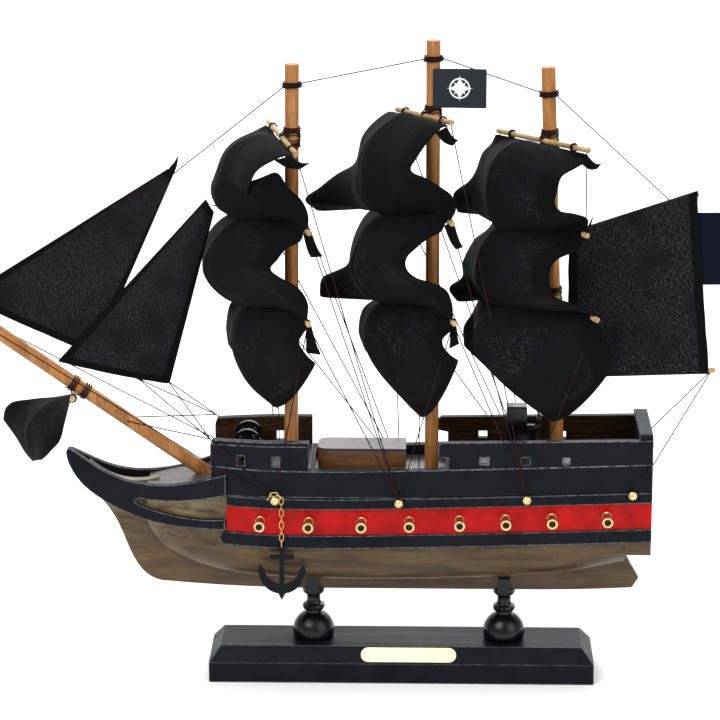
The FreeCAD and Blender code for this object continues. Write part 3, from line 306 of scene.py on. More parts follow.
def hull_stain():
    """Weathered brown stain with a low gloss; paler high up at the bow, partly abrasion, partly painted
    highlight.
    """
    paint = bare_wood("stained_hull_wood", (0.020, 0.010, 0.004), (0.062, 0.033, 0.0115),
                      (0.14, 0.082, 0.030), 0, 0.3, 0.1)
    base = paint.shader.inputs["Base Color"].links[0].from_socket
    streaks = paint.noise(0.16, (0.25, 1, 1.4), 6.0, 0.7)
    grey = paint.mix(paint.span(streaks, 0.44, 0.74), base, (0.090, 0.061, 0.030))
    # Painted highlight, with abrasion too: paler streaks high up at the bow, where light falls from above and
    # ahead.
    forward = paint.span(paint.axis(0), -0.072, -0.100)
    high = paint.span(paint.axis(2), 0.068, 0.086)
    rubbed_and_lit = paint.math("MULTIPLY", paint.math("MULTIPLY", forward, high), paint.span(streaks, 0.36, 0.55))
    worn_and_lit_tone = paint.mix(paint.math("MULTIPLY", rubbed_and_lit, 0.6), grey, (0.30, 0.25, 0.13))
    # Paler edges: partly abrasion, partly painted highlight.
    edge_abrasion_and_highlight = paint.math("MULTIPLY", paint.edges(0.0008), paint.span(paint.noise(0.4), 0.42, 0.6))
    paint.set(Base_Color=paint.mix(paint.math("MULTIPLY", edge_abrasion_and_highlight, 0.6), worn_and_lit_tone, (0.30, 0.22, 0.14)))
    return paint


def deck_stain():
    """Grey stained deck planks, run fore and aft, with dark seams and a low gloss."""
    paint = bare_wood("grey_deck_wood", (0.022, 0.019, 0.017), (0.058, 0.051, 0.045), (0.12, 0.105, 0.09), 0,
                      0.28, 0.2)
    base = paint.shader.inputs["Base Color"].links[0].from_socket
    seam = plank_seams(paint, 1, 4.6)
    paint.set(Base_Color=paint.mix(seam, base, (0.012, 0.010, 0.009)))
    under = paint.shader.inputs["Normal"].links[0].from_socket
    paint.set(Normal=paint.bump(paint.math("SUBTRACT", 1.0, seam), 0.0003, 0.8, under))
    return paint


def bulwark_paint():
    """Black outside and on top, brown stain on the side that faces the deck."""
    # The second colour is the edge tone: partly abrasion, partly painted highlight.
    paint = painted_wood("bulwark_paint", (0.0055, 0.0066, 0.0098), (0.30, 0.32, 0.34), 0.40,
                         wear_and_highlight=0.8, edge=0.0008)
    black = paint.shader.inputs["Base Color"].links[0].from_socket
    fibres = grain(paint, 0, 0.9, 0.2)[0]
    brown = paint.ramp(fibres, (0.35, (0.014, 0.007, 0.004)), (0.55, (0.042, 0.021, 0.011)),
                       (0.7, (0.09, 0.05, 0.028)))
    normal = paint.add("ShaderNodeTexCoord").outputs["Normal"]
    facing = paint.add("ShaderNodeSeparateXYZ", {"Vector": normal}).outputs[1]
    side = paint.math("SIGN", paint.axis(1))
    inward = paint.math("LESS_THAN", paint.math("MULTIPLY", facing, side), -0.6)
    paint.set(Base_Color=paint.mix(inward, black, brown))
    return paint


def twisted_thread():
    """Waxed thread: fine diagonal strands and a little fuzz."""
    paint = Paint("maroon_thread")
    skew = paint.add("ShaderNodeMapping", {"Vector": paint.place, "Scale": (1000, 1000, 1000),
                                           "Rotation": (0.5, 0.6, 0.2)}).outputs[0]
    strands = paint.add("ShaderNodeTexWave", {"Vector": skew, "Scale": 0.9, "Distortion": 1.5, "Detail": 2.0})
    fuzz = paint.noise(5.0, (1, 1, 1), 4.0)
    both = paint.math("ADD", strands.outputs["Fac"], paint.math("MULTIPLY", fuzz, 0.5))
    colour = paint.ramp(both, (0.3, (0.0035, 0.002, 0.0022)), (0.9, (0.032, 0.011, 0.011)))
    paint.set(Base_Color=colour, Roughness=0.8, Specular_IOR_Level=0.1, Normal=paint.bump(both, 0.00008, 0.6))
    return paint


def lacquered_iron():
    """Black lacquer over cast metal, faintly pitted; paler edges are partly abrasion, partly painted
    highlight.
    """
    paint = Paint("black_metal")
    pits = paint.noise(1.3, (1, 1, 1), 7.0, 0.7)
    # Paler edges: partly abrasion, partly painted highlight.
    edge = paint.math("MULTIPLY", paint.edges(0.0003), 0.5)
    paint.set(Base_Color=paint.mix(edge, (0.0035, 0.004, 0.005), (0.05, 0.055, 0.06)), Roughness=0.4,
              Specular_IOR_Level=0.12, Normal=paint.bump(pits, 0.0001, 0.5))
    return paint


materials["stained_hull_wood"] = hull_stain()
materials["grey_deck_wood"] = deck_stain()
materials["maroon_thread"] = twisted_thread()
materials["black_metal"] = lacquered_iron()

# Nodes with a finish of their own within their slot
BULWARK_PAINT = bulwark_paint()
own_paint = {"nameplate": metal("plate_brass", (0.93, 0.80, 0.52), 0.36, 0.1, 0.93)}
for side in ("port", "starboard"):
    for place in ("fore", "aft"):
        own_paint[side + "_" + place + "_bulwark"] = BULWARK_PAINT

slot_of = {row["node"]: row["material_slot"] for row in frame["record"]["subparts"]}
for name, obj in nodes.items():
    paint = own_paint.get(name) or materials[slot_of[name]]
    if not obj.material_slots:
        obj.data.materials.append(paint.material)
    for slot in obj.material_slots:
        slot.material = paint.material


# Looser cloth that lets points of light through: the jibs and the spanker
OPEN_WEAVE = cloth("open_weave_cotton", (0.0030, 0.0030, 0.0034), (0.009, 0.009, 0.010),
                   (0.095, 0.095, 0.097), patchy=(0.30, 0.50), slub=2.3)


# ------------------------------------------------------------------ pieces
def new_piece(name, mesh, slot, body="ship", replaces=(), material=None):
    """Object for a mesh, riding on a body and finished by its slot's material or by its own."""
    obj = bpy.data.objects.new(name, mesh)
    bpy.context.scene.collection.objects.link(obj)
    mesh.materials.append((material or materials[slot]).material)
    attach(obj, body)
    if replaces:
        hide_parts(*replaces)
    return obj


def catmull(points, count):
    """Evenly spaced points along a smooth curve through the given ones."""
    points = [Vector(p) for p in points]
    ring = [2 * points[0] - points[1]] + points + [2 * points[-1] - points[-2]]
    dense = []
    for i in range(1, len(ring) - 2):
        p0, p1, p2, p3 = ring[i - 1:i + 3]
        for step in range(12):
            t = step / 12
            dense.append(0.5 * ((2 * p1) + (p2 - p0) * t + (2 * p0 - 5 * p1 + 4 * p2 - p3) * t ** 2
                                + (3 * p1 - p0 - 3 * p2 + p3) * t ** 3))
    dense.append(points[-1])
    lengths = [0.0]
    for a, b in zip(dense[:-1], dense[1:]):
        lengths.append(lengths[-1] + (b - a).length)
    out, at = [], 0
    for i in range(count):
        want = lengths[-1] * i / (count - 1)
        while at < len(lengths) - 2 and lengths[at + 1] < want:
            at += 1
        span = max(lengths[at + 1] - lengths[at], 1e-9)
        out.append(dense[at].lerp(dense[at + 1], min(1.0, (want - lengths[at]) / span)))
    return out


def cloth_mesh(name, patches):
    """Mesh of rectangular patches of points (mm), each with its flat size for the weave."""
    vertices, faces, flat, hem = [], [], [], []
    for rows, width, length, hemmed in patches:
        start, across, down = len(vertices), len(rows[0]), len(rows)
        for j, row in enumerate(rows):
            for i, point in enumerate(row):
                vertices.append(Vector(point) * MM)
                x, y = width * i / (across - 1), length * j / (down - 1)
                flat.append((x * MM, y * MM))
                edge = min(x, width - x, y, length - y) if hemmed else 0.0
                hem.append((edge * MM, 0.0))
        for j in range(down - 1):
            for i in range(across - 1):
                a = start + j * across + i
                faces.append((a, a + 1, a + across + 1, a + across))
    mesh = bpy.data.meshes.new(name)
    mesh.from_pydata(vertices, [], faces)
    for layer_name, values in (("cloth", flat), ("hem", hem)):
        layer = mesh.uv_layers.new(name=layer_name)
        for loop in mesh.loops:
            layer.data[loop.index].uv = values[loop.vertex_index]
    mesh.shade_smooth()
    return mesh


def finish_cloth(obj, thickness=0.32):
    """Smooths a sheet and gives it thickness."""
    smooth = obj.modifiers.new("smooth", "SUBSURF")
    smooth.levels = smooth.render_levels = 1
    shell = obj.modifiers.new("shell", "SOLIDIFY")
    shell.thickness = thickness * MM
    shell.offset = 0.0
    return obj


# ------------------------------------------------------------------ spars, read from the frame
def node_points(name):
    """Vertices of a CAD node, in millimetres."""
    return [vertex.co / MM for vertex in nodes[name].data.vertices]


def halves(points, axis):
    """The points below and above the middle of their range along an axis."""
    middle = (min(point[axis] for point in points) + max(point[axis] for point in points)) / 2
    return [p for p in points if p[axis] < middle], [p for p in points if p[axis] >= middle]


def spar_ends(points, axis):
    """Centres of a straight spar's two ends: its vertices lie only round its ends."""
    return tuple(sum(end, Vector()) / len(end) for end in halves(points, axis))


MASTS = ("fore", "main", "mizzen")
LEVELS = ("top", "middle", "lower")
MAST_ENDS = {mast: spar_ends(node_points(mast + "_mast"), 2) for mast in MASTS}
YARD_ENDS = {}                # near end and far end of each yard, from the top down
for mast in MASTS:
    points = sorted(node_points(mast + "_yards"), key=lambda point: -point.z)
    share = len(points) // len(LEVELS)
    for level in range(len(LEVELS)):
        YARD_ENDS[mast, level] = spar_ends(points[share * level:share * (level + 1)], 1)
BOOM, GAFF = (spar_ends(points, 0) for points in halves(node_points("spanker_spars"), 2))
SPRIT_NEAR, SPRIT_FAR = spar_ends(node_points("sprit_yard"), 1)
BOWSPRIT_TIP, BOWSPRIT_HEEL = spar_ends(node_points("bowsprit"), 0)


# ------------------------------------------------------------------ square sails
# Each square sail is three profiles, at its near leech, its middle and its far leech. A profile is
# (forward, down) from the yard above, and it ends at the yard below or at its own last point.
PROFILES = {
    ("fore", 0): (
        [(4, 0), (10, 2), (17, 6), (20, 12), (21, 18), (17, 12), (9, 7), (4, 14), (-2, 20), (-5, 27)],
        [(9, -2), (19, 1), (25, 8), (29, 18), (31, 23), (29, 29), (22, 35), (12, 39)],
        [(6, 4), (15, 8), (21, 14), (25, 25), (26, 29), (25, 35), (20, 41)],
    ),
    ("fore", 1): (
        [(4, 3), (10, 6), (14, 11), (17, 15), (11, 20), (5, 24), (1, 31)],
        [(11, -1), (21, 0), (29, 6), (34, 15), (34, 24), (30, 31), (23, 37), (12, 41)],
        [(7, 2), (14, 5), (20, 10), (24, 17), (25, 27), (24, 33), (19, 40), (11, 45)],
    ),
    ("fore", 2): (
        [(1, 1), (4, 6), (4, 9), (1, 14), (-3, 18)],
        [(9, -2), (18, 0), (22, 5), (23, 14), (20, 25), (14, 37), (4, 46.5)],
        [(6, 3), (11, 5), (13, 9), (14, 16), (13, 24)],
    ),
    ("main", 0): (
        [(5, 2), (10, 7), (15, 14), (18, 20), (11, 24), (5, 28), (0, 32), (-2, 38)],
        [(9, -2), (17, 3), (24, 10), (28, 18), (29, 27), (28, 35), (22, 42), (12, 45)],
        [(4, 1), (10, 5), (16, 12), (18, 20), (20, 25), (27, 29), (35, 35), (42, 40), (36, 46)],
    ),
    ("main", 1): (
        [(5, 3), (11, 6), (16, 10), (20, 14), (20, 19), (16, 23), (11, 25), (3, 29), (0, 36)],
        [(11, 1), (20, 3), (28, 9), (31, 17), (32, 25), (29, 33), (23, 40), (12, 44)],
        [(7, 4), (14, 9), (19, 18), (21, 26), (22, 32), (28, 35), (34, 38), (35, 47)],
    ),
    ("main", 2): (
        [(1, 2), (5, 6), (5, 10), (2, 14), (-2, 17)],
        [(11, -2), (20, -1), (26, 4), (27, 14), (23, 24), (15, 36), (7, 46), (1, 52)],
        [(8, 4), (14, 9), (16, 18), (13, 27)],
    ),
    ("mizzen", 0): (
        [(0, 4), (6, 7), (12, 10), (14, 16), (15, 21), (13, 25), (6, 27), (0, 30)],
        [(9, -1), (17, 2), (22, 9), (24, 18), (24, 27), (21, 37), (13, 43), (4, 45)],
        [(3, 6), (7, 10), (10, 18), (13, 23), (20, 28), (18, 37)],
    ),
    ("mizzen", 1): (
        [(2, 4), (7, 7), (13, 9), (16, 12), (17, 18), (15, 26), (8, 30), (1, 34)],
        [(11, -1), (21, 0), (28, 7), (30, 15), (30, 23), (26, 32), (17, 38), (6, 42)],
        [(6, 8), (13, 13), (18, 22), (18, 29), (24, 33), (20, 40)],
    ),
    ("mizzen", 2): (
        [(-1, 3), (-3, 9), (-5, 17), (-5, 26)],
        [(12, 0), (25, 2), (33, 8), (32, 18), (23, 30), (10, 43), (-3, 53)],
        [(6, 5), (11, 15), (15, 21), (15, 30)],
    ),
}
LEAN = {"fore": 0.28, "main": 0.28, "mizzen": 0.55}      # outboard travel for each mm forward
FOOT_Y = {"fore": -3.5, "main": -3.0, "mizzen": -22.0}   # where the middle of each lower sail's foot ends
HEAD_LIFT = ((1.9, -0.6), (1.2, 1.5), (-1.3, 1.5))       # (aft, up) of the cloth's turn over a lower yard
YARD_END_GAP = 3.2                                       # bare wood at each end of a lower yard
LOWER_OVERHANG = 0.03                                    # reach of a lower sail's leech past its yard's end
TAILS = {                       # (x, z) of the two outer points of each loose corner
    ("fore", 0): ((-40.2, 247.9), (-44.9, 244.8)), ("fore", 1): ((-34.9, 206.2), (-40.4, 205.5)),
    ("fore", 2): ((-35.7, 162.2), (-42.5, 162.8)), ("main", 0): ((24.3, 258.0), (21.8, 255.3)),
    ("main", 1): ((26.7, 210.8), (23.6, 209.4)), ("main", 2): ((25.4, 167.6), (20.9, 165.1)),
    ("mizzen", 0): ((87.2, 247.2), (85.3, 244.7)), ("mizzen", 1): ((83.8, 225.0), (81.8, 220.4)),
    ("mizzen", 2): ((91.0, 168.0), (88.0, 164.0)),
}
CUTS = ((58.0, 68.0), (64.0, 76.0), (70.0, 62.0))        # flat width and length at each level
TAIL_CUT = (10.0, 12.0)
ACROSS, DOWN = 33, 41           # points of a sail's grid
TAIL_ACROSS, TAIL_DOWN = 9, 11


def profile_line(mast, level, which):
    """Evenly spaced points down a sail's near leech (0), middle (1) or far leech (2)."""
    near, far = YARD_ENDS[mast, level]
    if level == 2:
        past_end = (far - near).normalized() * LOWER_OVERHANG
        near, far = near - past_end, far + past_end
    top = (near, (near + far) / 2, far)[which]
    points = PROFILES[mast, level][which]
    free_end = level == 2 or (which == 2 and mast != "fore")
    if level < 2:
        low_near, low_far = YARD_ENDS[mast, level + 1]
        bottom = (low_near, (low_near + low_far) / 2, low_far)[which]
        end_y = bottom.y
    else:
        end_y = (near.y, FOOT_Y[mast], far.y * 0.8)[which]
    steps = len(points) + (0 if free_end else 1)
    line = [top + Vector((-1.0, 0, -1.5))]
    if level:
        inward = (far - near).normalized() * (YARD_END_GAP, 0.0, -YARD_END_GAP)[which]
        line = [top + inward + Vector((aft, 0, up)) for aft, up in HEAD_LIFT]
    for i, (forward, down) in enumerate(points):
        y = top.y + (end_y - top.y) * (i + 1) / steps - LEAN[mast] * forward
        line.append(Vector((top.x - forward, y, top.z - down)))
    if not free_end:
        line.append(bottom + Vector((-1.0, 0, 1.5)))
    return catmull(line, DOWN)


def square_sail(mast, level):
    """Rows of points of a sail: its leeches blended to its middle, then creased."""
    near, middle, far = (profile_line(mast, level, which) for which in range(3))
    near_power, far_power = (1.7, 1.4) if level == 2 else (2.1, 2.1)
    seed = Vector((level * 7.3, len(mast) * 3.1, 0))
    rows = []
    for j in range(DOWN):
        v = j / (DOWN - 1)
        row = []
        for i in range(ACROSS):
            u = i / (ACROSS - 1)
            share = 1.0 - abs(2 * u - 1) ** (near_power if u < 0.5 else far_power)
            edge = near[j] if u < 0.5 else far[j]
            point = edge.lerp(middle[j], share)
            if level == 2:
                fall = 1.0 - abs(2 * u - 1) ** (2.7 if u < 0.5 else 1.6)
                point.z = edge.z + (middle[j].z - edge.z) * (share + (fall - share) * v ** 3)
            loose = math.sin(math.pi * v) * (0.35 + 0.65 * share)
            fold = noise.noise(Vector((u * 5, v * 3, 0)) + seed) * 2.2
            fold += noise.noise(Vector((u * 14 + v * 4, v * 7, 2)) + seed) * 0.7
            crease = math.sin((u - 0.5) * 9 + v * 5) * 0.5 * math.sin(math.pi * u)
            row.append(point + Vector((-0.85, -0.5, 0.1)) * (fold + crease) * loose)
        rows.append(row)
    return rows


def tail_patch(mast, level):
    """Loose near corner of the sail's head, hanging clear of the yard's end: a folded triangle."""
    near = YARD_ENDS[mast, level][0]
    leech = profile_line(mast, level, 0)
    upper, lower = (Vector((x, near.y - out, z)) for (x, z), out in zip(TAILS[mast, level], (3.0, 2.0)))
    rows = []
    for j in range(TAIL_DOWN):
        s = j / (TAIL_DOWN - 1)
        row = []
        for i in range(TAIL_ACROSS):
            t = i / (TAIL_ACROSS - 1)
            root = leech[1].lerp(leech[5], t)
            point = root.lerp(upper.lerp(lower, t), s)
            fold = math.sin(t * 5.0 + s * 2.0) * 0.9 * math.sin(math.pi * min(1.0, s + 0.15))
            row.append(point + Vector((0.0, -fold, -1.3 * math.sin(math.pi * s))))
        rows.append(row)
    return rows


SAIL_ROWS = {key: square_sail(*key) for key in PROFILES}
for (mast, level), rows in SAIL_ROWS.items():
    width, length = CUTS[level]
    patches = [(rows, width, length, True), (tail_patch(mast, level), *TAIL_CUT, False)]
    name = mast + "_" + LEVELS[level] + "_sail"
    sail = new_piece(name + "_cloth", cloth_mesh(name, patches), "black_cotton", replaces=(name,))
    finish_cloth(sail)


# ------------------------------------------------------------------ jibs, spanker, flags
def panel(corners, across, down, belly, hollow, ripple, seed, y):
    """Four-cornered cloth, from its forward foot corner round to its forward head corner, bellied in y."""
    a, b, c, d = (Vector((x, y, z)) for x, z in corners)
    rows = []
    for j in range(down):
        v = j / (down - 1)
        row = []
        for i in range(across):
            u = i / (across - 1)
            point = d.lerp(a, v).lerp(c.lerp(b, v), u)
            swell = math.sin(math.pi * u) ** 0.8 * math.sin(math.pi * min(1.0, v * 0.92 + 0.04)) ** 0.7
            wave = noise.noise(Vector((u * 3 + seed, v * 5, seed))) * ripple
            wave += noise.noise(Vector((u * 11, v * 4 + seed, seed))) * ripple * 0.3
            sag = hollow * math.sin(math.pi * u) * v ** 3 + 0.25 * noise.noise(Vector((u * 9, v * 2, seed)))
            row.append(point + Vector((0, -belly * swell + wave * (0.3 + swell), -sag)))
        rows.append(row)
    return rows


def horn(root_low, root_high, tip, y):
    """Rolled point of cloth above a jib's head."""
    low, high, point = (Vector((x, y, z)) for x, z in (root_low, root_high, tip))
    rows = []
    for j in range(7):
        s = j / 6
        start, end = low.lerp(point, s * 0.96), high.lerp(point, s * 0.96)
        rows.append([start.lerp(end, i / 4) + Vector((0.6 * math.sin(3 * s), 0.4 * math.sin(i * 1.5), 0))
                     for i in range(5)])
    return rows


def sleeve_rows(gaff, boom, across, down):
    """Spanker: a sleeve over the gaff, the body of the sail, and a sleeve under the boom."""
    over = ((1.5, -3.4), (1.6, 0.0), (1.1, 1.2), (0.0, 1.7), (-1.2, 1.1), (-1.65, -0.4), (-1.3, -3.6))
    under = ((-1.3, 3.6), (-1.65, 0.2), (-1.1, -1.2), (0.0, -1.7), (1.2, -1.1), (1.6, 0.3), (1.4, 3.0))
    rows = []
    for dy, dz in over:
        rows.append([gaff(i / (across - 1)) + Vector((0, dy, dz)) for i in range(across)])
    for j in range(1, down):
        v = j / down
        row = []
        for i in range(across):
            u = i / (across - 1)
            top, foot = gaff(u) + Vector((0, -1.3, -3.6)), boom(u) + Vector((0, -1.3, 3.6))
            wave = noise.noise(Vector((u * 3, v * 4, 3.3))) * 0.9
            wave += noise.noise(Vector((u * 12, v * 3, 8.0))) * 0.25
            edge = 0.35 * noise.noise(Vector((v * 7, 2.0, u))) * (2 * u - 1)
            slack = math.sin(math.pi * v)
            row.append(top.lerp(foot, v) + Vector((edge, 1.4 * slack - wave * slack * 1.4, 0)))
        rows.append(row)
    for dy, dz in under:
        rows.append([boom(i / (across - 1)) + Vector((0, dy, dz)) for i in range(across)])
    return rows


JIBS = {
    "outer_jib": dict(corners=[(-200.3, 177.9), (-140.6, 150.8), (-103.4, 235.2), (-105.6, 238.0)], y=1.0,
                      belly=-2.0, ripple=1.0, seed=1.0, cut=(66.0, 116.0), area=3750.0, hangs="stay_line",
                      horn_tip=(-101.2, 243.9)),
    "inner_jib": dict(corners=[(-157.8, 148.2), (-106.5, 137.8), (-85.2, 218.4), (-88.8, 224.4)], y=0.0,
                      belly=3.2, ripple=1.1, seed=3.7, cut=(53.0, 104.0), area=2700.0, hangs="rigging",
                      horn_tip=None),
}
for name, facts in JIBS.items():
    width, length = facts["cut"]
    rows = panel(facts["corners"], 33, 49, facts["belly"], 0.5, facts["ripple"], facts["seed"], facts["y"])
    patches = [(rows, width, length, True)]
    if facts["horn_tip"]:
        patches.append((horn(*facts["corners"][:1:-1], facts["horn_tip"], facts["y"]), 3.0, 8.0, False))
    sail = new_piece(name + "_cloth", cloth_mesh(name, patches), "black_cotton", replaces=(name,),
                     material=OPEN_WEAVE)
    finish_cloth(sail)


def gaff_at(u):
    """Point on the gaff, over the stretch that the spanker covers."""
    return GAFF[0].lerp(GAFF[1], 0.06 + 0.93 * u)


def boom_at(u):
    """Point on the boom, over the stretch that the spanker covers."""
    return BOOM[0].lerp(BOOM[1], 0.03 + 0.925 * u)


SPANKER_ROWS = sleeve_rows(gaff_at, boom_at, 33, 36)
spanker = new_piece("spanker_cloth", cloth_mesh("spanker", [(SPANKER_ROWS, 61.0, 84.0, True)]),
                    "black_cotton", replaces=("spanker",), material=OPEN_WEAVE)
finish_cloth(spanker)

SPRIT_SHARES = (0.081, 0.5, 0.919)      # places along the yard of the spritsail's three profiles
SPRIT_PROFILES = (
    [(3, 8), (5, 16), (8, 22), (15, 29)],
    [(8, 2), (17, 8), (22, 17), (22, 25), (20, 32)],
    [(10, 3), (20, 4), (30, 6), (34, 14)],
)


def spritsail_rows():
    """Small sail hung under the bowsprit, blown forward."""
    lines = []
    for profile, share in zip(SPRIT_PROFILES, SPRIT_SHARES):
        top = SPRIT_NEAR.lerp(SPRIT_FAR, share)
        lines.append(catmull([top + Vector((-forward, 0, -down)) for forward, down in [(1.2, 1.4)] + profile],
                             DOWN))
    rows = []
    for j in range(DOWN):
        v = j / (DOWN - 1)
        row = []
        for i in range(ACROSS):
            u = i / (ACROSS - 1)
            edge = lines[0][j] if u < 0.5 else lines[2][j]
            point = edge.lerp(lines[1][j], 1.0 - abs(2 * u - 1) ** 1.8)
            wave = noise.noise(Vector((u * 5, v * 4, 9.1))) * 1.2 * v
            row.append(point + Vector((-wave, 0, 0.3 * wave)))
        rows.append(row)
    return rows


spritsail = new_piece("spritsail_cloth", cloth_mesh("spritsail", [(spritsail_rows(), 42.0, 38.0, True)]),
                      "black_cotton", replaces=("spritsail",))
finish_cloth(spritsail)


def flag_rows(node, across, down, wave):
    """A flag flown aft from its hoist, over its CAD node's place, waving more towards its fly."""
    low, high = (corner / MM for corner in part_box(node))
    rows = []
    for j in range(down):
        v = j / (down - 1)
        row = []
        for i in range(across):
            u = i / (across - 1)
            y = (low.y + high.y) / 2 + wave * math.sin(u * 4.4 + v * 0.8) * u
            row.append(Vector((low.x + (high.x - low.x) * u, y, high.z - (high.z - low.z) * v)))
        rows.append(row)
    return rows


def flag(node, slot, cut, across, down, wave):
    """Flag in place of its CAD node."""
    patch = (flag_rows(node, across, down, wave), *cut, False)
    return finish_cloth(new_piece(node + "_cloth", cloth_mesh(node, [patch]), slot, replaces=(node,)), 0.25)


main_flag = flag("main_flag", "flag_cloth", MAIN_FLAG_CUT, 25, 19, 0.9)
stern_flag = flag("stern_flag", "navy_flag_cloth", STERN_FLAG_CUT, 37, 29, 1.6)


# ------------------------------------------------------------------ lashings
def coil(centre, axis, radius, turns, length, wobble=0.12):
    """Points of a hand-wound coil round an axis."""
    axis = Vector(axis).normalized()
    side = axis.orthogonal().normalized()
    other = axis.cross(side)
    points = []
    for i in range(turns * 14 + 1):
        t = i / (turns * 14)
        angle = 2 * math.pi * turns * t
        out = radius + 0.3 + wobble * (1 + math.sin(angle * 0.37 + turns)) + 0.25 * math.sin(math.pi * t)
        along = (t - 0.5) * length + 0.35 * math.sin(angle * 0.5)
        around = side * math.cos(angle) + other * math.sin(angle)
        points.append(centre + axis * along + around * out)
    return points


MAST_RADIUS, YARD_RADIUS = 3.175, 1.2
YARD_OFFSET = 4.6               # from a mast's middle to its yards' middles
THREAD_RADIUS = 0.25
DOWNHAUL_TOPS = {"fore": (-56.45, -2.3, 127.5), "main": (7.75, -2.4, 122.5), "mizzen": (64.8, -4.25, 130.5)}
STAY_PLACES = {"fore": 276.4, "main": 288.4, "mizzen": 272.8}
BOWSPRIT_LASHINGS = (0.4935, 0.4505)        # shares of the way from its tip to its heel


def mast_point(mast, z):
    """Point on a mast's axis at a height."""
    foot, top = MAST_ENDS[mast]
    return foot.lerp(top, (z - foot.z) / (top.z - foot.z))


def mast_coil(mast, z, radius, count):
    """Coil round a mast at a height."""
    foot, top = MAST_ENDS[mast]
    return coil(mast_point(mast, z), top - foot, radius, count, 2.4)


def spar_coil(start, end, share):
    """Short coil round a thin spar."""
    return coil(start.lerp(end, share), end - start, YARD_RADIUS, 4, 2.0, 0.08)


def cross_lashing(mast, near, far):
    """Slanting turns round a mast and over the yard in front of it, one way and then the other."""
    along = (near - far).normalized()
    forward = Vector((along.y, -along.x, 0)).normalized()
    side = Vector((0, 0, 1)).cross(forward)
    centre = mast_point(mast, (near.z + far.z) / 2)
    reach, round_mast = YARD_OFFSET + 1.65, MAST_RADIUS + 0.32
    tangent = math.acos(round_mast / reach)
    turns, steps = 11, 20
    points = []
    for turn in range(turns):
        slant = (0.75 + 0.25 * math.sin(turn * 2.1)) * (1 if turn % 2 else -1)
        lift = 1.1 * math.sin(turn * 1.7)
        swell = 0.16 * (turn % 3)
        for step in range(steps):
            angle = -math.pi + 2 * math.pi * (step + 0.5) / steps
            past_tangent = max(0.0, tangent - abs(angle))
            radius = (round_mast + swell) / math.cos(past_tangent)
            sideways = math.sin(angle) * radius
            out = forward * math.cos(angle) * radius + side * sideways
            points.append(centre + out + Vector((0, 0, lift + slant * sideways)))
    return points


def downhaul(mast):
    """Straight thread from the foot of a lower sail to the end of its downhaul."""
    top = Vector(DOWNHAUL_TOPS[mast])
    foot = min(SAIL_ROWS[mast, 2][-1], key=lambda point: (point - top).length)
    return [top - Vector((0, 0, 0.6)), top.lerp(foot, 0.5), foot + Vector((0, 0, 1.0))]


runs = []
for (mast, level), (near, far) in YARD_ENDS.items():
    middle = (near + far) / 2
    runs.append(cross_lashing(mast, near, far))
    for shift, count in ((3.6, 6), (-3.5, 4)):
        runs.append(mast_coil(mast, middle.z + shift, MAST_RADIUS, count))
    if level == 0:
        for share in (0.16, 0.84):
            runs.append(spar_coil(near, far, share))
for mast, z in STAY_PLACES.items():
    runs.append(mast_coil(mast, z, MAST_RADIUS + 0.5, 5))
for mast in MASTS:
    runs.append(downhaul(mast))
for share in (0.1, 0.9):
    runs.append(spar_coil(SPRIT_NEAR, SPRIT_FAR, share))
for share in BOWSPRIT_LASHINGS:
    place = BOWSPRIT_TIP.lerp(BOWSPRIT_HEEL, share)
    runs.append(coil(place, BOWSPRIT_TIP - BOWSPRIT_HEEL, MAST_RADIUS, 6, 3.4))


def tube_faces(start, rings, around):
    """Quads between each ring of a tube's vertices and the next."""
    faces = []
    for i in range(rings - 1):
        for k in range(around):
            a, b = start + i * around + k, start + i * around + (k + 1) % around
            faces.append((a, b, b + around, a + around))
    return faces


def smooth_mesh(name, vertices, faces):
    """Mesh with smooth shading."""
    mesh = bpy.data.meshes.new(name)
    mesh.from_pydata(vertices, [], faces)
    mesh.shade_smooth()
    return mesh


def ring_angles(around):
    """Angles of points evenly spaced round a circle."""
    return [2 * math.pi * k / around for k in range(around)]


def tubes_mesh(name, runs, radius, around=6):
    """One mesh of round tubes along several runs of points."""
    vertices, faces = [], []
    for run in runs:
        start = len(vertices)
        for i, point in enumerate(run):
            ahead = (run[min(i + 1, len(run) - 1)] - run[max(i - 1, 0)]).normalized()
            side = ahead.orthogonal() if i == 0 else side - ahead * side.dot(ahead)
            side.normalize()
            other = ahead.cross(side)
            for angle in ring_angles(around):
                vertices.append((point + (side * math.cos(angle) + other * math.sin(angle)) * radius) * MM)
        faces += tube_faces(start, len(run), around)
        faces.append(tuple(start + k for k in reversed(range(around))))
        faces.append(tuple(start + (len(run) - 1) * around + k for k in range(around)))
    return smooth_mesh(name, vertices, faces)


new_piece("lashing_turns", tubes_mesh("lashing_turns", runs, THREAD_RADIUS), "maroon_thread",
          replaces=("lashings",))


def axle_ends(around=20):
    """Turned wooden buttons on the windlass's end discs."""
    low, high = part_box("windlass_drum")
    centre = (low + high) / 2 / MM
    profile = [(0.0, 0.55), (0.5, 0.5), (1.0, 0.3), (1.25, 0.0), (1.25, -0.3)]      # (radius, rise)
    vertices, faces = [], []
    for side, face in ((-1, low.y / MM), (1, high.y / MM)):
        faces += tube_faces(len(vertices), len(profile), around)
        for radius, rise in profile:
            for angle in ring_angles(around):
                vertices.append(Vector((centre.x + radius * math.cos(angle), face + side * rise,
                                        centre.z + radius * math.sin(angle))) * MM)
    return smooth_mesh("axle_ends", vertices, faces)


new_piece("windlass_axle_ends", axle_ends(), "orange_stained_wood", body="windlass")


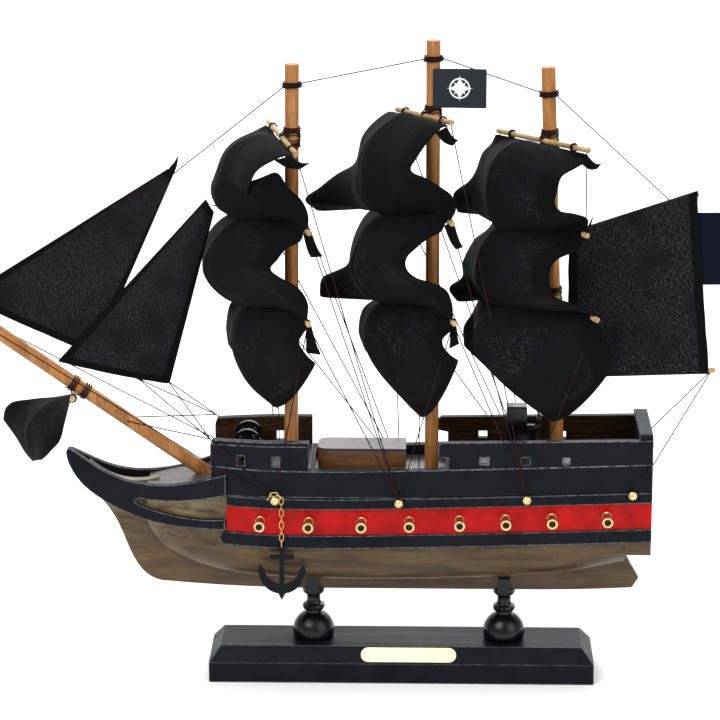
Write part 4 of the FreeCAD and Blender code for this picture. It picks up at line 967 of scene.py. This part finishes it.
# ------------------------------------------------------------------ studio, in metres
LENS = 153.5
CAMERA_PLACE = (0.01127, -1.35131, 0.51441)
CAMERA_AIM = (-0.01940, 0.0, 0.14970)
FLOOR_REACH, FLOOR_BACK, FLOOR_BEND, WALL_TOP = 6.0, 1.5, 0.8, 3.0
SUBJECT, BACKDROP = (0, 0, 0.14), (0, 2.1, 0.2)
LIGHTS = (                      # name, place, what it points at, size, power
    ("key", (-0.9, -1.3, 1.5), SUBJECT, 1.2, 26.0),
    ("fill", (1.3, -1.1, 0.9), SUBJECT, 1.4, 11.0),
    ("top", (0.0, 0.1, 1.9), SUBJECT, 1.6, 22.0),
    ("back", (0.3, 1.4, 1.2), SUBJECT, 1.2, 10.0),
    ("wash", (0.0, 0.9, 2.0), BACKDROP, 1.6, 16.0),
)


def aimed(name, data, place, target):
    """Light or camera at a place, pointed at a target."""
    obj = bpy.data.objects.new(name, data)
    obj.location = place
    obj.rotation_euler = (Vector(target) - Vector(place)).to_track_quat("-Z", "Y").to_euler()
    bpy.context.scene.collection.objects.link(obj)
    return obj


def sweep_floor(steps=10):
    """Pale floor that bends up into a wall behind the ship."""
    bend = [math.pi / 2 * k / steps for k in range(steps + 1)]
    profile = [(-FLOOR_REACH, 0.0)]
    profile += [(FLOOR_BACK + math.sin(a) * FLOOR_BEND, (1 - math.cos(a)) * FLOOR_BEND) for a in bend]
    profile.append((FLOOR_BACK + FLOOR_BEND, WALL_TOP))
    vertices = [(x, y, z - 0.0002) for x in (-FLOOR_REACH, FLOOR_REACH) for y, z in profile]
    count = len(profile)
    faces = [(k, k + 1, count + k + 1, count + k) for k in range(count - 1)]
    floor = bpy.data.objects.new("studio_floor", smooth_mesh("floor", vertices, faces))
    bpy.context.scene.collection.objects.link(floor)
    paint = Paint("studio_white")
    mottle = paint.noise(0.004, (1, 1, 1), 2.0)
    tint = paint.ramp(mottle, (0.3, (0.93, 0.93, 0.93)), (0.7, (0.95, 0.95, 0.95)))
    paint.set(Base_Color=tint, Roughness=0.9)
    floor.data.materials.append(paint.material)


def studio():
    """Floor, soft light and the camera."""
    sweep_floor()
    world = bpy.data.worlds.new("studio")
    world.use_nodes = True
    sky = world.node_tree.nodes["Background"]
    sky.inputs["Color"].default_value = (0.97, 0.98, 1.0, 1.0)
    sky.inputs["Strength"].default_value = 0.5
    bpy.context.scene.world = world
    for name, place, target, size, power in LIGHTS:
        data = bpy.data.lights.new(name, "AREA")
        data.size = size
        data.energy = power
        aimed(name, data, place, target)
    data = bpy.data.cameras.new("camera")
    data.lens = LENS
    data.sensor_width = 36.0
    bpy.context.scene.camera = aimed("camera", data, CAMERA_PLACE, CAMERA_AIM)
    bpy.context.scene.view_settings.view_transform = "Standard"


studio()
